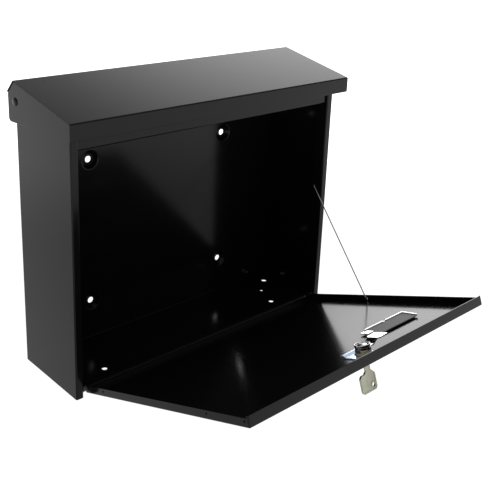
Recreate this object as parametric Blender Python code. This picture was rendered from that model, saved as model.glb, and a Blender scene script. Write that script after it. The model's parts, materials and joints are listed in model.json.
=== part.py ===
"""Wall mounted letterbox of folded sheet steel, in metres: X to the right, Y towards the wall, Z up.

The origin is the centre of the four wall holes, on the rear face of the back panel. The lid is shut.
The door hangs open on its wire stay, with the key in its lock.
"""

from math import atan, cos, pi, radians, sin, tan

import bmesh
import bpy
from mathutils import Matrix, Vector

# Sheet steel and the gap that welded or touching pieces keep between them
SHEET = 0.001
GAP = 0.0003
BEND = 0.0016

# Body
HALF_WIDTH = 0.180
DEPTH = 0.100
BOTTOM = -0.128
FRONT = -DEPTH
FLANGE_WIDTH = 0.0085
LIP_DEPTH = 0.0165
LIP_RETURN = 0.005
SIDE_FRONT_TOP = 0.161
SIDE_RIDGE_Y = -0.014
SIDE_RIDGE_TOP = 0.1795
SIDE_BACK_TOP = 0.1665
SIDE_BLANK_TOP = 0.190
SIDE_NOTCH_CLEARANCE = 0.0009
BACK_TOP = 0.1668
LIP_TOP = 0.1495
FLOOR_LIP_Y = FRONT + 0.0078
FLOOR_LIP_HEIGHT = 0.009
FLOOR_FLANGE_HEIGHT = 0.012
FLOOR_RELIEF_INSET = 0.003

# Wall holes, each in a stamped stand-off dimple, and the drain holes in the floor
WALL_HOLE_X = 0.0963
WALL_HOLE_Z = 0.0842
WALL_HOLE_RADIUS = 0.0036
DIMPLE_DEPTH = 0.004
DIMPLE_FOOT_RADIUS = 0.0105
DIMPLE_FACE_RADIUS = 0.0072
DIMPLE_WALL = 0.0012
FLOOR_HOLES = ((0.126, -0.069, 0.0030), (0.1375, -0.0395, 0.0019), (0.161, -0.020, 0.0032))

# Front rail under the lid, which the lock's cam hooks behind
RAIL_Y = FRONT + 0.003
RAIL_BOTTOM = 0.1305
RAIL_TOP = 0.149
RAIL_RETURN = 0.0042

# Lid
LID_HALF_WIDTH = 0.1885
LID_FRONT = FRONT - 0.014
LID_SKIRT_BOTTOM = 0.1452
LID_FRONT_TOP = 0.1622
LID_RIDGE_Y = -0.0115
LID_RIDGE = 0.184
LID_BACK_Y = 0.0015
LID_BACK = 0.171
LID_END_BACK_BOTTOM = 0.1408
LID_END_INSET = 0.0008
LID_END_BACK_INSET = 0.0006
LID_END_PEAK_INSET = 0.0004
LID_END_FOOT_INSET = 0.0008
LID_END_CORNER = 0.004
LID_PIVOT_Y = -0.0135
LID_PIVOT_Z = 0.163
RIVET_RADIUS = 0.0019
RIVET_HEAD_RADIUS = 0.0043
RIVET_HEAD = 0.0017
RIVET_TAIL_RADIUS = 0.0034
RIVET_TAIL = 0.0014
SPACER_RADIUS = 0.0045
RIVET_HOLE = 0.00225

# Door: s runs up the shut door from its lower edge, n runs inwards from its outer face
DOOR_HALF_WIDTH = 0.1665
DOOR_LENGTH = 0.2530
DOOR_SIDE_FLANGE = 0.0081
DOOR_TOP_FLANGE = 0.0102
DOOR_HINGE_FLANGE = 0.0050
DOOR_BEND = 0.0014
DOOR_RIM_INSET = 0.0009
DOOR_OPEN = radians(69.3)
PIN_S = 0.0033
PIN_N = 0.0055
PIN_Y = FRONT + 0.003
PIN_Z = BOTTOM + 0.0075
PIN_RADIUS = 0.00125
PIN_HOLE = 0.0016
PIN_HEAD_RADIUS = 0.0020
PIN_HEAD = 0.001
PIN_WASHER_RADIUS = 0.0026
FLANGE_HOLES_S = (0.036, 0.200, 0.248)
FLANGE_HOLE_N = 0.0053
FLANGE_HOLE_RADIUS = 0.0012
STAY_S = 0.099
STAY_N = 0.0040

# Lock
LOCK_S = 0.231
LOCK_HEAD_RADIUS = 0.0095
LOCK_HEAD = 0.004
LOCK_HEAD_BEVEL = 0.0012
BARREL_RADIUS = 0.0079
BARREL_FLAT = 0.0072
BARREL_GROOVE = 0.0064
BARREL_END = 0.0074
PLUG_RADIUS = 0.0049
PLUG_BORE = 0.00525
PLUG_TANG = 0.0056
PLUG_TANG_END = 0.0098
CAM_THICKNESS = 0.0012
CAM_BASE = 0.0077
CAM_RISE = 0.0033
CAM_REACH = 0.0330
CAM_HALF_WIDTH = 0.0076
CAM_RING = 0.0075
CAM_NECK = 0.0055
CAM_CRANK = 0.0105
CAM_LANDING = 0.0180
CAM_DROOP = radians(6)
WASHER_RADIUS = 0.0077
WASHER_BORE = 0.0042
WASHER_THICKNESS = 0.001
WASHER_WALL = 0.0009
WASHER_HEIGHT = 0.0030
SCREW_HEAD_RADIUS = 0.0048
SCREW_HEAD = 0.0019
SCREW_SHANK = 0.0015
SCREW_LENGTH = 0.0028
RECESS_ARM = 0.0021
RECESS_HALF_WIDTH = 0.0005
RECESS_DEPTH = 0.0009
CLIP_ENDS = (-0.0135, 0.0108)
CLIP_SHEET = 0.0008
CLIP_BASE = SHEET + GAP
CLIP_FORK = 0.0035

# Key
KEY_THICKNESS = 0.002
KEY_BLADE = 0.0068
KEY_NECK = 0.0076
KEY_STOP = -0.0058
KEY_BOW = (-0.0125, 0.0085)
KEY_RING_HOLE = (0.0040, 0, -0.0280)
KEY_RING_RADIUS = 0.0021
KEY_TIP = 0.0048
KEY_SHOULDER = -0.0157
KEY_END = -0.0332

# Name holder, to the right of the lock
NAME_X = 0.0900
NAME_S = 0.1945
NAME_HOLE = (0.0588, 0.0176)
NAME_BEZEL = (0.0660, 0.0250)
NAME_WINDOW = (0.0530, 0.0118)
NAME_BACK = (0.0640, 0.0243)
NAME_BACK_FOOT = 0.1832
NAME_BACK_TAPER = 0.0055
NAME_BEZEL_DEPTH = 0.0026
NAME_REBATE = 0.0016
NAME_SLEEVE_END = 0.0021
NAME_CARD_START = 0.0
NAME_CARD = 0.0004
NAME_BACK_START = 0.0024
NAME_BACK_FLOOR = 0.0008
NAME_BACK_DEPTH = 0.002
NAME_BACK_RIM = 0.0017
NAME_TAB = 0.0085
NAME_NOTCH = 0.004

# Wire stay, from the right lip to the door's right flange
WIRE_RADIUS = 0.00075
WIRE_HOLE = 0.0013
STAY_TOP_Y = FRONT + 0.0120
STAY_TOP_Z = 0.0255
STAY_TAIL = 0.0036
STAY_INSET = 0.0012
STAY_BEND = 0.003
STAY_SPACING = 0.0035
FERRULE_RADIUS = 0.0014
FERRULE_LENGTH = 0.0022
FERRULE_BEVEL = 0.0003

LIP_INNER = HALF_WIDTH - FLANGE_WIDTH

# How far cutters run past the sheet they pass through, and past a whole edge
THROUGH = 0.003
BEYOND = 0.02
NEAR = 1e-5

LATHE_TURNS = {
    "Z": Matrix.Identity(4),
    "X": Matrix.Rotation(pi / 2, 4, "Y"),
    "-X": Matrix.Rotation(-pi / 2, 4, "Y"),
}


def clear_scene():
    for obj in list(bpy.data.objects):
        bpy.data.objects.remove(obj, do_unlink=True)


def material(name, color, roughness, metallic=0.0):
    """One Principled BSDF material, made once for each name."""
    found = bpy.data.materials.get(name)
    if found:
        return found
    made = bpy.data.materials.new(name)
    made.use_nodes = True
    shader = made.node_tree.nodes["Principled BSDF"]
    shader.inputs["Base Color"].default_value = (*color, 1.0)
    shader.inputs["Roughness"].default_value = roughness
    shader.inputs["Metallic"].default_value = metallic
    return made


def powder_coat():
    return material("black_powder_coat", (0.02, 0.02, 0.022), 0.42)


def rivet_paint():
    return material("black_rivet_paint", (0.02, 0.02, 0.022), 0.35)


def chrome():
    return material("chrome", (0.75, 0.75, 0.76), 0.12, 1.0)


def zinc():
    return material("blue_zinc", (0.55, 0.62, 0.72), 0.25, 1.0)


def steel():
    return material("bright_steel", (0.6, 0.6, 0.6), 0.25, 1.0)


def nickel_silver():
    return material("nickel_silver", (0.55, 0.52, 0.42), 0.3, 1.0)


def nylon():
    return material("black_nylon", (0.03, 0.03, 0.03), 0.5)


def clear_plastic():
    return material("clear_plastic", (0.8, 0.85, 0.85), 0.1)


def card():
    return material("card", (0.8, 0.8, 0.78), 0.8)


def add_object(name, bm, look, parent=None, sharp=35):
    """Closes a bmesh into a named object, in its parent's frame, smooth except at its sharp edges."""
    bmesh.ops.recalc_face_normals(bm, faces=bm.faces)
    mesh = bpy.data.meshes.new(name)
    bm.to_mesh(mesh)
    bm.free()
    mesh.materials.append(look)
    mesh.shade_smooth()
    mesh.set_sharp_from_angle(angle=radians(sharp))
    obj = bpy.data.objects.new(name, mesh)
    bpy.context.scene.collection.objects.link(obj)
    obj.parent = parent
    return obj


def add_empty(name, place, turn=(0, 0, 0), parent=None):
    """A joint's axis, which its moving pieces hang on."""
    empty = bpy.data.objects.new(name, None)
    bpy.context.scene.collection.objects.link(empty)
    empty.parent = parent
    empty.location = place
    empty.rotation_euler = turn
    return empty


def boolean(obj, operation, bm, name, solver="EXACT"):
    """Cuts or joins a hidden helper shape, given in the object's own frame."""
    helper = add_object(f"{obj.name}.{name}", bm, obj.data.materials[0], obj.parent)
    helper.hide_render = True
    helper.display_type = "WIRE"
    modifier = obj.modifiers.new(name, "BOOLEAN")
    modifier.operation = operation
    modifier.solver = solver
    modifier.object = helper


def arc(centre, radius, start, end, steps):
    """Points on a circle from one angle to another, both ends included."""
    turns = (start + (end - start) * i / steps for i in range(steps + 1))
    return [(centre[0] + radius * cos(t), centre[1] + radius * sin(t)) for t in turns]


def rounded(points, radius, steps=4, closed=False):
    """The line through these points with each corner turned into an arc."""
    line = []
    count = len(points)
    for i, point in enumerate(points):
        if not closed and i in (0, count - 1):
            line.append(tuple(point))
            continue
        corner = Vector(point)
        to_last = (Vector(points[i - 1]) - corner).normalized()
        to_next = (Vector(points[(i + 1) % count]) - corner).normalized()
        half = to_last.angle(to_next) / 2
        if half > radians(89):
            line.append(tuple(point))
            continue
        start = corner + to_last * (radius / tan(half))
        centre = corner + (to_last + to_next).normalized() * (radius / sin(half))
        sweep = pi - 2 * half
        side = to_last.x * to_next.y - to_last.y * to_next.x
        spoke = start - centre
        for step in range(steps + 1):
            turn = -sweep * step / steps if side > 0 else sweep * step / steps
            line.append(tuple(centre + Matrix.Rotation(turn, 2) @ spoke))
    return line


def thickened(line, thickness):
    """A closed outline: this line, and the same line set off to its left by the thickness."""
    offset = []
    for i, point in enumerate(line):
        here = Vector(point)
        before = (here - Vector(line[i - 1])).normalized() if i else None
        after = (Vector(line[i + 1]) - here).normalized() if i < len(line) - 1 else None
        along = ((before or after) + (after or before)).normalized()
        left = Vector((-along.y, along.x))
        stretch = left.dot(Vector((-(after or before).y, (after or before).x)))
        offset.append(tuple(here + left * (thickness / stretch)))
    return list(line) + offset[::-1]


def place_in(plane, u, v, w):
    """A point of a plane XY, YZ or XZ, at distance w along the third axis."""
    return {"XY": (u, v, w), "YZ": (w, u, v), "XZ": (u, w, v)}[plane]


def add_prism(bm, outline, plane, low, high):
    """Extrudes a closed outline in a plane from low to high along the third axis."""
    near = [bm.verts.new(place_in(plane, u, v, low)) for u, v in outline]
    far = [bm.verts.new(place_in(plane, u, v, high)) for u, v in outline]
    count = len(outline)
    bm.faces.new(near)
    bm.faces.new(far[::-1])
    for i in range(count):
        j = (i + 1) % count
        bm.faces.new((near[j], near[i], far[i], far[j]))


def prism(outline, plane, low, high):
    bm = bmesh.new()
    add_prism(bm, outline, plane, low, high)
    return bm


def box_outline(low, high):
    return [(low[0], low[1]), (high[0], low[1]), (high[0], high[1]), (low[0], high[1])]


def box(low, high):
    """A plain box between two corners."""
    return prism(box_outline(low, high), "XY", low[2], high[2])


def add_rod(bm, centre, axis, radius, half_length, sides=20, far_radius=None):
    """A cylinder or a frustum about a centre, along a unit axis."""
    turn = Vector((0, 0, 1)).rotation_difference(Vector(axis)).to_matrix().to_4x4()
    bmesh.ops.create_cone(
        bm,
        cap_ends=True,
        segments=sides,
        radius1=radius,
        radius2=radius if far_radius is None else far_radius,
        depth=2 * half_length,
        matrix=Matrix.Translation(Vector(centre)) @ turn,
    )


def rods(places, axis, radius, half_length, sides=20, far_radius=None):
    bm = bmesh.new()
    for place in places:
        add_rod(bm, place, axis, radius, half_length, sides, far_radius)
    return bm


def lathe(profile, axis="Z", centre=(0, 0, 0), sides=32):
    """Turns a closed (radius, height) outline about an axis through the centre."""
    bm = bmesh.new()
    rings = []
    for i in range(sides):
        angle = 2 * pi * i / sides
        rings.append([bm.verts.new((r * cos(angle), r * sin(angle), h)) for r, h in profile])
    count = len(profile)
    for i in range(sides):
        ring, after = rings[i], rings[(i + 1) % sides]
        for j in range(count):
            k = (j + 1) % count
            bm.faces.new((ring[j], ring[k], after[k], after[j]))
    bmesh.ops.remove_doubles(bm, verts=bm.verts, dist=1e-7)
    place = Matrix.Translation(Vector(centre)) @ LATHE_TURNS[axis]
    bmesh.ops.transform(bm, matrix=place, verts=bm.verts)
    return bm


# ---------------------------------------------------------------- body


def side_plan(side):
    """Plan outline of a side panel: side sheet, front flange, and the lip with its return."""
    outer = [
        (HALF_WIDTH, 0),
        (HALF_WIDTH, FRONT),
        (LIP_INNER, FRONT),
        (LIP_INNER, FRONT + LIP_DEPTH),
        (LIP_INNER + LIP_RETURN, FRONT + LIP_DEPTH),
    ]
    outline = thickened(rounded(outer, BEND), -SHEET)
    return [(side * x, y) for x, y in outline]


def side_top_outline():
    """Everything above a side panel's sloping top edge."""
    return [
        (FRONT - BEYOND, SIDE_FRONT_TOP),
        (FRONT, SIDE_FRONT_TOP),
        (SIDE_RIDGE_Y, SIDE_RIDGE_TOP),
        (0, SIDE_BACK_TOP),
        (BEYOND, SIDE_BACK_TOP - BEYOND),
        (BEYOND, SIDE_BLANK_TOP + BEYOND),
        (FRONT - BEYOND, SIDE_BLANK_TOP + BEYOND),
    ]


def make_side_panel(name, side):
    panel = add_object(name, prism(side_plan(side), "XY", BOTTOM, SIDE_BLANK_TOP), powder_coat())
    wide = sorted((side * (LIP_INNER - BEYOND), side * (HALF_WIDTH + BEYOND)))
    boolean(panel, "DIFFERENCE", prism(side_top_outline(), "YZ", *wide), "slope")
    notch_wall = HALF_WIDTH - SHEET - SIDE_NOTCH_CLEARANCE
    inner, outer = sorted((side * (LIP_INNER - BEYOND), side * notch_wall))
    behind_lip = FRONT + LIP_DEPTH + THROUGH
    notch = box((inner, FRONT - BEYOND, LIP_TOP), (outer, behind_lip, SIDE_BLANK_TOP + BEYOND))
    boolean(panel, "DIFFERENCE", notch, "notch")
    pivot = [(side * HALF_WIDTH, LID_PIVOT_Y, LID_PIVOT_Z)]
    boolean(panel, "DIFFERENCE", rods(pivot, (1, 0, 0), RIVET_HOLE, THROUGH), "pivot_hole")
    pin = [(side * LIP_INNER, PIN_Y, PIN_Z)]
    boolean(panel, "DIFFERENCE", rods(pin, (1, 0, 0), PIN_HOLE, THROUGH, 16), "pin_hole")
    if side > 0:
        stay = [(LIP_INNER, STAY_TOP_Y, STAY_TOP_Z)]
        boolean(panel, "DIFFERENCE", rods(stay, (1, 0, 0), WIRE_HOLE, THROUGH, 16), "stay_hole")


def make_back_panel():
    half = HALF_WIDTH - SHEET - GAP
    panel = add_object("back_panel", box((-half, -SHEET, BOTTOM), (half, 0, BACK_TOP)), powder_coat())
    places = [(x, z) for x in (-WALL_HOLE_X, WALL_HOLE_X) for z in (-WALL_HOLE_Z, WALL_HOLE_Z)]
    lean = (DIMPLE_FOOT_RADIUS - DIMPLE_FACE_RADIUS) / DIMPLE_DEPTH

    def frustums(start, end, shrink):
        centres = [(x, (start + end) / 2, z) for x, z in places]
        near = DIMPLE_FOOT_RADIUS - lean * start - shrink
        far = DIMPLE_FOOT_RADIUS - lean * end - shrink
        return rods(centres, (0, 1, 0), near, (end - start) / 2, 28, far)

    boolean(panel, "UNION", frustums(-SHEET / 2, DIMPLE_DEPTH, 0), "standoffs")
    boolean(panel, "DIFFERENCE", frustums(-2 * SHEET, DIMPLE_DEPTH - SHEET, DIMPLE_WALL), "hollows")
    holes = rods([(x, 0, z) for x, z in places], (0, 1, 0), WALL_HOLE_RADIUS, BEYOND, 28)
    boolean(panel, "DIFFERENCE", holes, "wall_holes")


def make_bottom_panel():
    """Floor sheet with a lip turned up behind the door and a weld flange turned up at the back."""
    half = HALF_WIDTH - SHEET - GAP
    line = [
        (FLOOR_LIP_Y, BOTTOM + FLOOR_LIP_HEIGHT),
        (FLOOR_LIP_Y, BOTTOM),
        (-SHEET - GAP, BOTTOM),
        (-SHEET - GAP, BOTTOM + FLOOR_FLANGE_HEIGHT),
    ]
    outline = thickened(rounded(line, BEND), SHEET)
    panel = add_object("bottom_panel", prism(outline, "YZ", -half, half), powder_coat())
    relief_back = FRONT + LIP_DEPTH + SHEET
    for side, name in ((-1, "left_relief"), (1, "right_relief")):
        inner, outer = sorted((side * (LIP_INNER - FLOOR_RELIEF_INSET), side * (half + BEYOND)))
        relief = box((inner, FRONT - BEYOND, BOTTOM - BEYOND), (outer, relief_back, BOTTOM + BEYOND))
        boolean(panel, "DIFFERENCE", relief, name)
    for number, (x, y, radius) in enumerate(FLOOR_HOLES):
        places = [(side * x, y, BOTTOM) for side in (-1, 1)]
        holes = rods(places, (0, 0, 1), radius, THROUGH)
        boolean(panel, "DIFFERENCE", holes, f"drains_{number + 1}")


def make_front_rail():
    """Cross rail with its lower and upper edges turned back."""
    half = LIP_INNER - GAP
    line = [
        (RAIL_Y + RAIL_RETURN, RAIL_BOTTOM),
        (RAIL_Y, RAIL_BOTTOM),
        (RAIL_Y, RAIL_TOP),
        (RAIL_Y + RAIL_RETURN, RAIL_TOP),
    ]
    outline = thickened(rounded(line, BEND), -SHEET)
    add_object("front_rail", prism(outline, "YZ", -half, half), powder_coat())


# ---------------------------------------------------------------- lid


def lid_point(y, z):
    """A point of the lid in the lid hinge's frame."""
    return (y - LID_PIVOT_Y, z - LID_PIVOT_Z)


def make_lid_cover(hinge):
    line = [
        lid_point(LID_FRONT, LID_SKIRT_BOTTOM),
        lid_point(LID_FRONT, LID_FRONT_TOP),
        lid_point(LID_RIDGE_Y, LID_RIDGE),
        lid_point(LID_BACK_Y, LID_BACK),
    ]
    outline = thickened(rounded(line, BEND, 5), -SHEET)
    bm = prism(outline, "YZ", -LID_HALF_WIDTH, LID_HALF_WIDTH)
    add_object("lid_cover", bm, powder_coat(), hinge)


def make_lid_end(name, side, hinge):
    """End plate welded under the cover, with the pivot hole near its back top corner."""
    step = SHEET + GAP
    front = LID_FRONT + step
    back = LID_BACK_Y - LID_END_BACK_INSET
    slope = (LID_RIDGE - LID_FRONT_TOP) / (LID_RIDGE_Y - LID_FRONT)
    chamfer = (LID_RIDGE - LID_BACK) / (LID_BACK_Y - LID_RIDGE_Y)
    under_slope = LID_FRONT_TOP - step / cos(atan(slope))
    under_chamfer = LID_RIDGE - step / cos(atan(chamfer))
    peak_y = LID_RIDGE_Y - LID_END_PEAK_INSET
    peak = min(under_slope + slope * (peak_y - LID_FRONT), under_chamfer)
    foot = [
        lid_point(front, LID_SKIRT_BOTTOM + LID_END_FOOT_INSET),
        lid_point(back, LID_END_BACK_BOTTOM),
        lid_point(back, under_chamfer - chamfer * (back - LID_RIDGE_Y)),
    ]
    crown = [lid_point(peak_y, peak), lid_point(front, under_slope + slope * step)]
    outline = rounded(foot, LID_END_CORNER, 5) + crown
    outer = LID_HALF_WIDTH - LID_END_INSET
    span = sorted((side * (outer - SHEET), side * outer))
    plate = add_object(name, prism(outline, "YZ", *span), powder_coat(), hinge)
    hole = rods([(side * outer, 0, 0)], (1, 0, 0), RIVET_HOLE, THROUGH)
    boolean(plate, "DIFFERENCE", hole, "pivot_hole")


def make_lid_rivet(name, side, hinge):
    """Domed rivet through the end plate, the spacer and the side panel, set over inside."""
    seat = LID_HALF_WIDTH - LID_END_INSET + GAP
    inside = HALF_WIDTH - SHEET - GAP
    profile = [
        (0, inside - RIVET_TAIL),
        (RIVET_TAIL_RADIUS, inside - RIVET_TAIL),
        (RIVET_TAIL_RADIUS, inside),
        (RIVET_RADIUS, inside),
        (RIVET_RADIUS, seat),
    ]
    dome = ((1, 0), (0.91, 0.47), (0.63, 0.82), (0, 1))
    profile += [(RIVET_HEAD_RADIUS * out, seat + RIVET_HEAD * up) for out, up in dome]
    add_object(name, lathe(profile, "X" if side > 0 else "-X", sides=24), rivet_paint(), hinge)


def make_lid_spacer(name, side):
    """Nylon bush that keeps the lid's end plate clear of the side panel."""
    low = HALF_WIDTH + GAP
    high = LID_HALF_WIDTH - LID_END_INSET - SHEET - GAP
    profile = [(RIVET_HOLE, low), (SPACER_RADIUS, low), (SPACER_RADIUS, high), (RIVET_HOLE, high)]
    place = (0, LID_PIVOT_Y, LID_PIVOT_Z)
    add_object(name, lathe(profile, "X" if side > 0 else "-X", place, 20), nylon())


# ---------------------------------------------------------------- door


def door_point(x, s, n):
    """A point of the door in the door hinge's frame, where Y runs inwards and Z up the shut door."""
    return (x, n - PIN_N, s - PIN_S)


def door_box(low, high):
    """A box between two (x, s, n) corners."""
    return box(door_point(*low), door_point(*high))


def make_door_panel(hinge):
    """Shallow pan: outer sheet with a flange turned in on all four sides, the top one deeper."""
    bm = door_box((-DOOR_HALF_WIDTH, 0, 0), (DOOR_HALF_WIDTH, DOOR_LENGTH, DOOR_TOP_FLANGE))
    bend = [e for e in bm.edges if all(abs(v.co.y + PIN_N) < NEAR for v in e.verts)]
    corner = [e for e in bm.edges if abs(e.verts[0].co.y - e.verts[1].co.y) > NEAR]
    bmesh.ops.bevel(bm, geom=bend + corner, offset=DOOR_BEND, segments=3, profile=0.5, affect="EDGES")
    panel = add_object("door_panel", bm, powder_coat(), hinge)
    wall = DOOR_HALF_WIDTH - SHEET
    pan = door_box((-wall, SHEET, SHEET), (wall, DOOR_LENGTH - SHEET, BEYOND))
    boolean(panel, "DIFFERENCE", pan, "pan")
    far = DOOR_LENGTH - SHEET - DOOR_RIM_INSET
    rim = door_box((-DOOR_LENGTH, -BEYOND, DOOR_SIDE_FLANGE), (DOOR_LENGTH, far, 2 * BEYOND))
    boolean(panel, "DIFFERENCE", rim, "rim")
    lock = rods([door_point(0, LOCK_S, 0)], (0, 1, 0), BARREL_RADIUS + GAP, THROUGH, 32)
    boolean(panel, "DIFFERENCE", lock, "lock_hole")
    wide, tall = NAME_HOLE
    low = (NAME_X - wide / 2, NAME_S - tall / 2, -THROUGH)
    high = (NAME_X + wide / 2, NAME_S + tall / 2, THROUGH)
    boolean(panel, "DIFFERENCE", door_box(low, high), "name_hole")
    sides = (-DOOR_HALF_WIDTH, DOOR_HALF_WIDTH)
    pins = rods([door_point(x, PIN_S, PIN_N) for x in sides], (1, 0, 0), PIN_HOLE, THROUGH, 16)
    boolean(panel, "DIFFERENCE", pins, "pin_holes", "MANIFOLD")
    places = [door_point(-DOOR_HALF_WIDTH, s, FLANGE_HOLE_N) for s in FLANGE_HOLES_S]
    small = rods(places, (1, 0, 0), FLANGE_HOLE_RADIUS, THROUGH, 12)
    boolean(panel, "DIFFERENCE", small, "flange_holes")
    stay = rods([door_point(DOOR_HALF_WIDTH, STAY_S, STAY_N)], (1, 0, 0), WIRE_HOLE, THROUGH, 16)
    boolean(panel, "DIFFERENCE", stay, "stay_hole")
    near_rim = door_box((-wall, -BEYOND, DOOR_HINGE_FLANGE), (wall, SHEET + DOOR_RIM_INSET, 2 * BEYOND))
    boolean(panel, "DIFFERENCE", near_rim, "hinge_rim")


def make_door_pin(name, side):
    """Hinge rivet through the lip and the door's side flange."""
    inside = DOOR_HALF_WIDTH - SHEET - GAP
    outside = LIP_INNER + SHEET + GAP
    profile = [
        (0, inside - PIN_HEAD),
        (PIN_HEAD_RADIUS, inside - PIN_HEAD),
        (PIN_HEAD_RADIUS, inside),
        (PIN_RADIUS, inside),
        (PIN_RADIUS, outside),
        (PIN_HEAD_RADIUS, outside),
        (PIN_HEAD_RADIUS, outside + PIN_HEAD),
        (0, outside + PIN_HEAD),
    ]
    axis = "X" if side > 0 else "-X"
    add_object(name, lathe(profile, axis, (0, PIN_Y, PIN_Z), 16), rivet_paint())


def make_door_washer(name, side):
    """Nylon washer that centres the door between the lips."""
    low = DOOR_HALF_WIDTH + GAP
    high = LIP_INNER - GAP
    profile = [(PIN_HOLE, low), (PIN_WASHER_RADIUS, low), (PIN_WASHER_RADIUS, high), (PIN_HOLE, high)]
    axis = "X" if side > 0 else "-X"
    add_object(name, lathe(profile, axis, (0, PIN_Y, PIN_Z), 16), nylon())


# ---------------------------------------------------------------- name holder


def name_slab(size, start, end, corner=0.0008):
    """A slab in the door's plane between two n distances."""
    wide, tall = size
    low = door_point(NAME_X - wide / 2, NAME_S - tall / 2, 0)
    high = door_point(NAME_X + wide / 2, NAME_S + tall / 2, 0)
    outline = rounded(box_outline((low[0], low[2]), (high[0], high[2])), corner, 3, closed=True)
    return prism(outline, "XZ", start - PIN_N, end - PIN_N)


def grown(size, by):
    return (size[0] + 2 * by, size[1] + 2 * by)


def make_name_frame(hinge):
    """Bezel outside the door, with a sleeve through it."""
    slab = name_slab(NAME_BEZEL, -NAME_BEZEL_DEPTH, -GAP, 0.002)
    frame = add_object("name_frame", slab, chrome(), hinge)
    sleeve = name_slab(grown(NAME_HOLE, -GAP), -SHEET, NAME_SLEEVE_END)
    boolean(frame, "UNION", sleeve, "sleeve")
    boolean(frame, "DIFFERENCE", name_slab(NAME_WINDOW, -THROUGH, THROUGH), "window")
    recess = name_slab(grown(NAME_WINDOW, NAME_REBATE), -NAME_BEZEL_DEPTH + SHEET, THROUGH)
    boolean(frame, "DIFFERENCE", recess, "recess")


def back_outline(left, foot, right, head, radius, steps):
    """Four corners in the door's plane, the right end sloping in towards the door's free edge."""
    slope = NAME_BACK_TAPER / NAME_BACK[1]
    points = [(left, foot), (right - slope * (foot - NAME_BACK_FOOT), foot)]
    points += [(right - slope * (head - NAME_BACK_FOOT), head), (left, head)]
    return rounded([(x, s - PIN_S) for x, s in points], radius, steps, closed=True)


def make_name_back(hinge):
    """Snap-on back of the holder: a plate with a rim on two sides, a notch in it and a tab at one end."""
    floor = NAME_BACK_START + NAME_BACK_FLOOR
    top = NAME_BACK_START + NAME_BACK_DEPTH
    left, foot = NAME_X - NAME_BACK[0] / 2, NAME_BACK_FOOT
    right, head, rim = left + NAME_BACK[0], foot + NAME_BACK[1], NAME_BACK_RIM
    plate = prism(back_outline(left, foot, right, head, 0.0016, 3), "XZ", NAME_BACK_START - PIN_N, top - PIN_N)
    back = add_object("name_back", plate, chrome(), hinge)
    inside = back_outline(left - NAME_TAB, foot + rim, right - rim, head + NAME_TAB, 0.0008, 2)
    boolean(back, "DIFFERENCE", prism(inside, "XZ", floor - PIN_N, BEYOND), "tray")
    tab_low = (left - NAME_TAB, foot + 0.002, NAME_BACK_START)
    tab_high = (left + SHEET, foot + 0.012, NAME_BACK_START + SHEET)
    boolean(back, "UNION", door_box(tab_low, tab_high), "tab")
    half = NAME_NOTCH / 2
    notch_low = (NAME_X - half, foot - SHEET, floor + GAP)
    notch_high = (NAME_X + half, foot + NAME_BACK_RIM + SHEET, BEYOND)
    boolean(back, "DIFFERENCE", door_box(notch_low, notch_high), "notch")


def make_name_window(hinge):
    """Clear sheet in the bezel's rebate."""
    size = grown(NAME_WINDOW, NAME_REBATE - GAP)
    start = -NAME_BEZEL_DEPTH + SHEET + GAP
    add_object("name_window", name_slab(size, start, start + SHEET), clear_plastic(), hinge)


def make_name_card(hinge):
    """Blank card behind the window."""
    size = grown(NAME_WINDOW, NAME_REBATE - GAP)
    slab = name_slab(size, NAME_CARD_START, NAME_CARD_START + NAME_CARD)
    add_object("name_card", slab, card(), hinge)


# ---------------------------------------------------------------- lock

# The lock's frame has X across the door, Y down it and Z inwards along the lock's axis.


def make_lock_housing(axis):
    """Round head outside the door and a barrel through it, with two flats and two clip grooves."""
    head = -GAP - LOCK_HEAD
    profile = [
        (PLUG_BORE, head),
        (LOCK_HEAD_RADIUS - LOCK_HEAD_BEVEL, head),
        (LOCK_HEAD_RADIUS, head + LOCK_HEAD_BEVEL),
        (LOCK_HEAD_RADIUS, -GAP),
        (BARREL_RADIUS, -GAP),
        (BARREL_RADIUS, BARREL_END),
        (PLUG_BORE, BARREL_END),
    ]
    housing = add_object("lock_housing", lathe(profile), chrome(), axis)
    for side, name in ((-1, "left"), (1, "right")):
        inner, outer = sorted((side * BARREL_FLAT, side * BEYOND))
        flat = box((inner, -BEYOND, 0), (outer, BEYOND, BEYOND))
        boolean(housing, "DIFFERENCE", flat, f"{name}_flat")
        inner, outer = sorted((side * BARREL_GROOVE, side * BEYOND))
        groove = box((inner, -BEYOND, SHEET), (outer, BEYOND, CLIP_BASE + CLIP_SHEET + GAP))
        boolean(housing, "DIFFERENCE", groove, f"{name}_groove")


def make_lock_plug(axis):
    """Turning plug with the key slot in its face, and a square tang with the screw's thread bore."""
    face = -LOCK_HEAD
    bevel = 0.0004
    end = BARREL_END - GAP
    profile = [
        (0, face),
        (PLUG_RADIUS - bevel, face),
        (PLUG_RADIUS, face + bevel),
        (PLUG_RADIUS, end),
        (0, end),
    ]
    plug = add_object("lock_plug", lathe(profile), steel(), axis)
    half = PLUG_TANG / 2
    boolean(plug, "UNION", box((-half, -half, end - THROUGH), (half, half, PLUG_TANG_END)), "tang")
    wide, thick = KEY_BLADE / 2 + 2 * GAP, KEY_THICKNESS / 2 + GAP
    slot = box((-wide, -thick, face - THROUGH), (wide, thick, KEY_TIP + GAP))
    boolean(plug, "DIFFERENCE", slot, "key_slot")
    bore = rods([(0, 0, PLUG_TANG_END)], (0, 0, 1), SCREW_SHANK + GAP, SCREW_LENGTH + GAP, 16)
    boolean(plug, "DIFFERENCE", bore, "screw_bore")


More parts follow.
